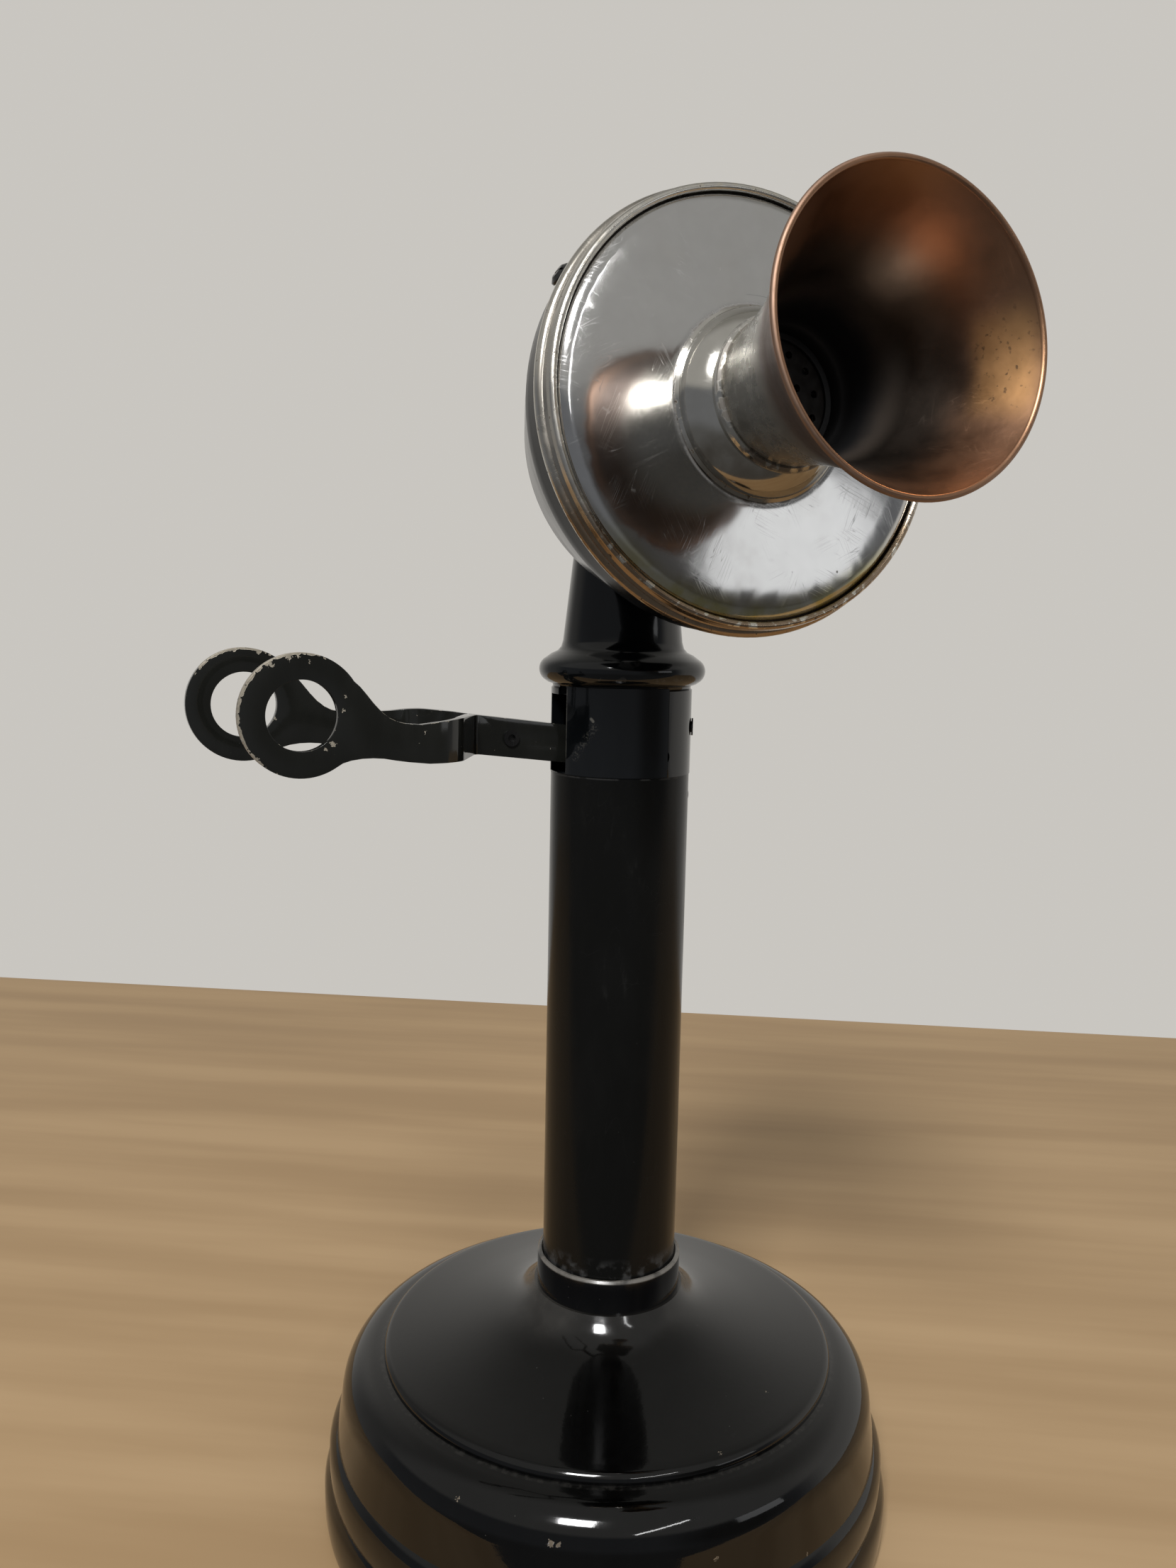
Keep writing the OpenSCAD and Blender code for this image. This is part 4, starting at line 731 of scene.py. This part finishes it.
all_lines = times(wipe_lines, most(wipe_lines, families), takes.outputs["Amount"])
wipe_lines.links.new(all_lines, gives.inputs["Mask"])


def plate(name, tones, gloss, span, scratches, grime, stains, height_from=None):
    """Nickel plate. tones gives its colour, grime a mask of dirt and height_from a height to add."""
    made, tree, shader = paint(name)
    spots = millimetres(tree)
    out, turn, along = [use(tree, around_axis, end) for end in ("Out", "Turn", "Along")]
    colour = tones(tree, spots, out, turn, along)
    dirt = grime(tree, spots, out, turn, along)
    blotch = ease(tree, noise(tree, spots, 0.12, 5.0), 0.5, 0.72)
    lines = use(tree, wipe_lines, Amount=scratches)
    colour = blend(tree, times(tree, blotch, stains), colour, (0.42, 0.37, 0.30, 1))
    colour = blend(tree, dirt, colour, (0.045, 0.030, 0.018, 1))
    rough = plus(tree, gloss, times(tree, blotch, span))
    rough = plus(tree, rough, times(tree, lines, 0.2))
    rough = plus(tree, rough, times(tree, dirt, 0.45), clamp=True)
    tree.links.new(colour, shader.inputs["Base Color"])
    tree.links.new(rough, shader.inputs["Roughness"])
    tree.links.new(minus(tree, 1.0, times(tree, dirt, 0.8)), shader.inputs["Metallic"])
    waves = noise(tree, spots, 0.11, 2.0)
    height = minus(tree, times(tree, waves, 1.3), times(tree, lines, 0.06))
    if height_from:
        height = plus(tree, height, height_from(tree, spots, out, turn, along))
    bump = wire(tree, "Bump", {"Height": height, "Strength": 0.25, "Distance": 0.0001})
    tree.links.new(bump.outputs["Normal"], shader.inputs["Normal"])
    return made


def bezel_tones(tree, spots, out, turn, along):
    low = ease(tree, split(tree, frame_of_transmitter(tree))["Y"], 0.0, -32.0)
    patchy = noise(tree, spots, 0.16, 5.0)
    worn = ease(tree, plus(tree, times(tree, low, 0.62), times(tree, patchy, 0.55)), 0.50, 0.78)
    silver = blend(tree, noise(tree, spots, 0.5, 3.0), (0.62, 0.59, 0.53, 1), (0.78, 0.76, 0.71, 1))
    bronze = blend(tree, noise(tree, spots, 0.6, 4.0), (0.27, 0.195, 0.13, 1), (0.44, 0.335, 0.235, 1))
    flank = times(tree, band(tree, along, *dull_flank, 0.3), 0.6)
    silver = blend(tree, flank, silver, (0.30, 0.265, 0.22, 1))
    rubbed = most(tree, [band(tree, along, *back_crest, 0.15), band(tree, along, *front_crest, 0.12)])
    rubbed = times(tree, rubbed, ease(tree, noise(tree, spots, 0.55, 6.0), 0.53, 0.60))
    return blend(tree, rubbed, blend(tree, worn, silver, bronze), (0.74, 0.70, 0.61, 1))


def bezel_grime(tree, spots, out, turn, along):
    nicks = ease(tree, noise(tree, spots, 0.9, 5.0), 0.66, 0.70)
    groove = band(tree, along, *groove_middle, 0.12)
    seat = times(tree, ease(tree, along, 46.9, 46.5), ease(tree, out, 41.0, 41.5))
    return most(tree, [times(tree, nicks, 0.8), times(tree, groove, 0.85), seat])


bezel_nickel = plate("worn_bezel_nickel", bezel_tones, 0.22, 0.14, 0.4, bezel_grime, stains=0.2)
smooth_copy("bezel_ring", "transmitter", bezel_nickel)
coat(["rim_screws"], blacked_steel)

# ---- faceplate ----
# A thin spun disc in bright nickel, wiped to a web of fine scratches, stained here and there and
# yellowed along its lower edge.
face_root, face_edge = 18.1, 39.45  # radii at the boss's foot and close to the disc's own edge


def face_tones(tree, spots, out, turn, along):
    low = times(tree, ease(tree, split(tree, frame_of_transmitter(tree))["Y"], -18.0, -34.0),
                ease(tree, out, 34.5, 38.6))
    low = times(tree, low, ease(tree, noise(tree, spots, 0.2, 3.0), 0.3, 0.6, 0.45, 1.0))
    clean = blend(tree, noise(tree, spots, 0.25, 4.0), (0.585, 0.58, 0.57, 1), (0.66, 0.655, 0.645, 1))
    return blend(tree, low, clean, (0.46, 0.42, 0.20, 1))


def face_grime(tree, spots, out, turn, along):
    pits = times(tree, use(tree, specks, Scale=0.28, Size=0.10, Share=0.82), 0.6)
    root = times(tree, ease(tree, out, face_root + 0.8, face_root),
                 ease(tree, noise(tree, spots, 0.4, 3.0), 0.4, 0.6, 0.2, 0.8))
    rim = ease(tree, out, face_edge - 0.15, face_edge)
    return most(tree, [pits, root, times(tree, rim, 0.2)])


def scribed(tree, spots, out, turn, along):
    """A short arc scratched into the disc above the boss."""
    arc = times(tree, band(tree, out, 20.0, 20.15, 0.12), band(tree, turn, 1.43, 1.69, 0.03))
    return times(tree, arc, -0.8)


face_nickel = plate("bright_face_nickel", face_tones, 0.11, 0.045, 0.7, face_grime, stains=0.07,
                    height_from=scribed)
smooth_copy("faceplate", "transmitter", face_nickel, crease=0.75, even=True)

# ---- boss ----
# The turned boss that the mouthpiece screws into; bright nickel with brown dirt where it meets the
# face and in the groove under the mouthpiece, and a painted reflection that turns its lower side dark brown.
def boss_tones_and_painted_reflection(tree, spots, out, turn, along):
    # painted reflection: the lower side of the boss is painted dark brown, standing in for the dark, brown
    # surroundings it mirrors below
    ragged = times(tree, noise(tree, spots, 0.2, 4.0), 14.0)
    low = ease(tree, plus(tree, split(tree, frame_of_transmitter(tree))["Y"], ragged), 2.0, -8.0)
    clean = blend(tree, noise(tree, spots, 0.3, 4.0), (0.62, 0.60, 0.55, 1), (0.74, 0.72, 0.67, 1))
    return blend(tree, times(tree, low, 0.75), clean, (0.22, 0.175, 0.12, 1))


def boss_grime(tree, spots, out, turn, along):
    spotty = times(tree, ease(tree, noise(tree, spots, 0.8, 5.0), 0.62, 0.68),
                   ease(tree, along, 58.0, 56.0))
    top = times(tree, ease(tree, along, 63.2, 63.9), ease(tree, noise(tree, spots, 0.5, 3.0), 0.42, 0.56))
    return most(tree, [spotty, times(tree, top, 0.75)])


boss_nickel = plate("boss_nickel", boss_tones_and_painted_reflection, 0.09, 0.08, 0.3, boss_grime, stains=0.15)
smooth_copy("face_boss", "transmitter", boss_nickel)

# ---- mouthpiece and sound grille ----
# A thin spun trumpet with a black perforated disc in its throat. Its tube is still nickel outside,
# its flare has gone brown there, and its rim and its mouth are worn to copper; the bright orange patch
# on the right of the mouth is a painted highlight. The throat is black with old dirt.
wall_start, wall_end = 65.05, 99.75  # of the middle of the wall, along the axis from the tilt pivot
wall_radius, wall_spread = 12.93, 13.02  # at the start, and what the flare adds


def ease_straight(tree, value, low, high):
    """Goes evenly from 0 to 1 as value goes from low to high."""
    made = wire(tree, "MapRange", {"Value": value, "From Min": low, "From Max": high, "To Min": 0.0,
                                   "To Max": 1.0}, clamp=True)
    return made.outputs["Result"]


def trumpet_part(tree, out, along):
    """0 on the outside, 1 on the inside, from the middle of the wall at each distance along."""
    step = ease_straight(tree, along, wall_start, wall_end)
    flare = plus(tree, times(tree, step, 0.42), times(tree, figure(tree, "POWER", step, 2.1), 0.58))
    middle = plus(tree, times(tree, flare, wall_spread), wall_radius)
    return ease(tree, minus(tree, middle, out), -0.12, 0.12)


trumpet, tree, shader = paint("worn_trumpet")
spots = millimetres(tree)
out, turn, along = [use(tree, around_axis, end) for end in ("Out", "Turn", "Along")]
inside = trumpet_part(tree, out, along)
depth = ease_straight(tree, along, 65.0, 99.0)
cloud = noise(tree, spots, 0.10, 5.0)
fine = noise(tree, spots, 0.45, 5.0)
nickel_tone = blend(tree, fine, (0.39, 0.37, 0.33, 1), (0.52, 0.50, 0.45, 1))
copper = blend(tree, cloud, (0.27, 0.150, 0.090, 1), (0.42, 0.240, 0.148, 1))
brown = blend(tree, cloud, (0.19, 0.115, 0.078, 1), (0.30, 0.175, 0.112, 1))
drift = plus(tree, depth, times(tree, minus(tree, cloud, 0.5), 0.16))
mouth = blend(tree, ease(tree, drift, 0.60, 0.88), brown, copper)
# painted highlight: a bright orange patch on the right of the mouth, broken by darker spots, stands in for a
# lamp's reflection there
painted_highlight_place = times(tree, band(tree, turn, -0.42, 0.28, 0.16), band(tree, along, 90.0, 99.0, 2.2))
mouth = blend(tree, times(tree, painted_highlight_place, 0.92), mouth, (0.76, 0.42, 0.185, 1))
orange_spots = times(tree, painted_highlight_place, ease(tree, noise(tree, spots, 0.9, 4.0), 0.60, 0.72, 0.0, 0.7))
mouth = blend(tree, orange_spots, mouth, (0.10, 0.075, 0.055, 1))
tarnished = times(tree, ease(tree, drift, 0.80, 0.52), 0.85)
mouth = blend(tree, tarnished, mouth, (0.165, 0.142, 0.120, 1))
deep = ease(tree, drift, 0.42, 0.12)
mouth = blend(tree, deep, mouth, (0.012, 0.012, 0.013, 1))
rolled = ease(tree, plus(tree, along, times(tree, cloud, 4.0)), 80.0, 91.0)
flare_brown = blend(tree, cloud, (0.085, 0.062, 0.052, 1), (0.16, 0.115, 0.092, 1))
rim_copper = blend(tree, cloud, (0.26, 0.17, 0.125, 1), (0.44, 0.29, 0.21, 1))
outer = blend(tree, rolled, nickel_tone, flare_brown)
outer = blend(tree, ease(tree, along, 95.5, 98.0), outer, rim_copper)
tree.links.new(blend(tree, inside, outer, mouth), shader.inputs["Base Color"])
lines = use(tree, wipe_lines, Amount=0.35)
pits = use(tree, specks, Scale=0.5, Size=0.13, Share=0.8)
rough_in = plus(tree, ease(tree, cloud, 0.3, 0.7, 0.30, 0.40), times(tree, deep, 0.25))
rough_out = plus(tree, ease(tree, fine, 0.3, 0.7, 0.21, 0.30), times(tree, rolled, 0.3))
rough = ease(tree, inside, 0.0, 1.0, rough_out, rough_in)
tree.links.new(plus(tree, rough, times(tree, lines, 0.15)), shader.inputs["Roughness"])
tree.links.new(minus(tree, 1.0, times(tree, times(tree, deep, inside), 0.7)), shader.inputs["Metallic"])
dents = times(tree, noise(tree, spots, 0.33, 2.0), times(tree, inside, 0.9))
height = plus(tree, times(tree, noise(tree, spots, 0.12, 3.0), 1.6), dents)
height = minus(tree, height, times(tree, pits, 0.2))
bump = wire(tree, "Bump", {"Height": height, "Strength": 0.3, "Distance": 0.0001})
tree.links.new(bump.outputs["Normal"], shader.inputs["Normal"])
smooth_copy("mouthpiece", "transmitter", trumpet, crease=0.9)
grille = moulded("black_grille", (0.008, 0.007, 0.007, 1), (0.02, 0.016, 0.013, 1), 0.3, 0.2)
coat(["sound_grille"], grille)

# ---- diaphragm and carbon button ----
# Sealed behind the face: the thin diaphragm in its rubber gasket, held by a brass ring, two damping
# springs with soft pads, and the carbon button on its steel bridge.
aluminium = bare_metal("rolled_aluminium", (0.55, 0.55, 0.56, 1), (0.80, 0.80, 0.81, 1), 0.28, 0.15,
                       (8, 1, 1))
coat(["diaphragm"], aluminium)
soft_rubber = moulded("soft_rubber", (0.020, 0.020, 0.020, 1), (0.045, 0.043, 0.040, 1), 0.6, 0.2)
coat(["diaphragm_gasket", "damping_pads"], soft_rubber)
coat(["damping_springs"], spring_bronze)
coat(["clamp_ring", "damping_screws", "carbon_button", "button_stud"], turned_brass)
mica = moulded("split_mica", (0.22, 0.18, 0.10, 1), (0.42, 0.36, 0.22, 1), 0.12, 0.15)
coat(["button_diaphragm"], mica)
coat(["button_bridge", "bridge_screws"], bright_steel)
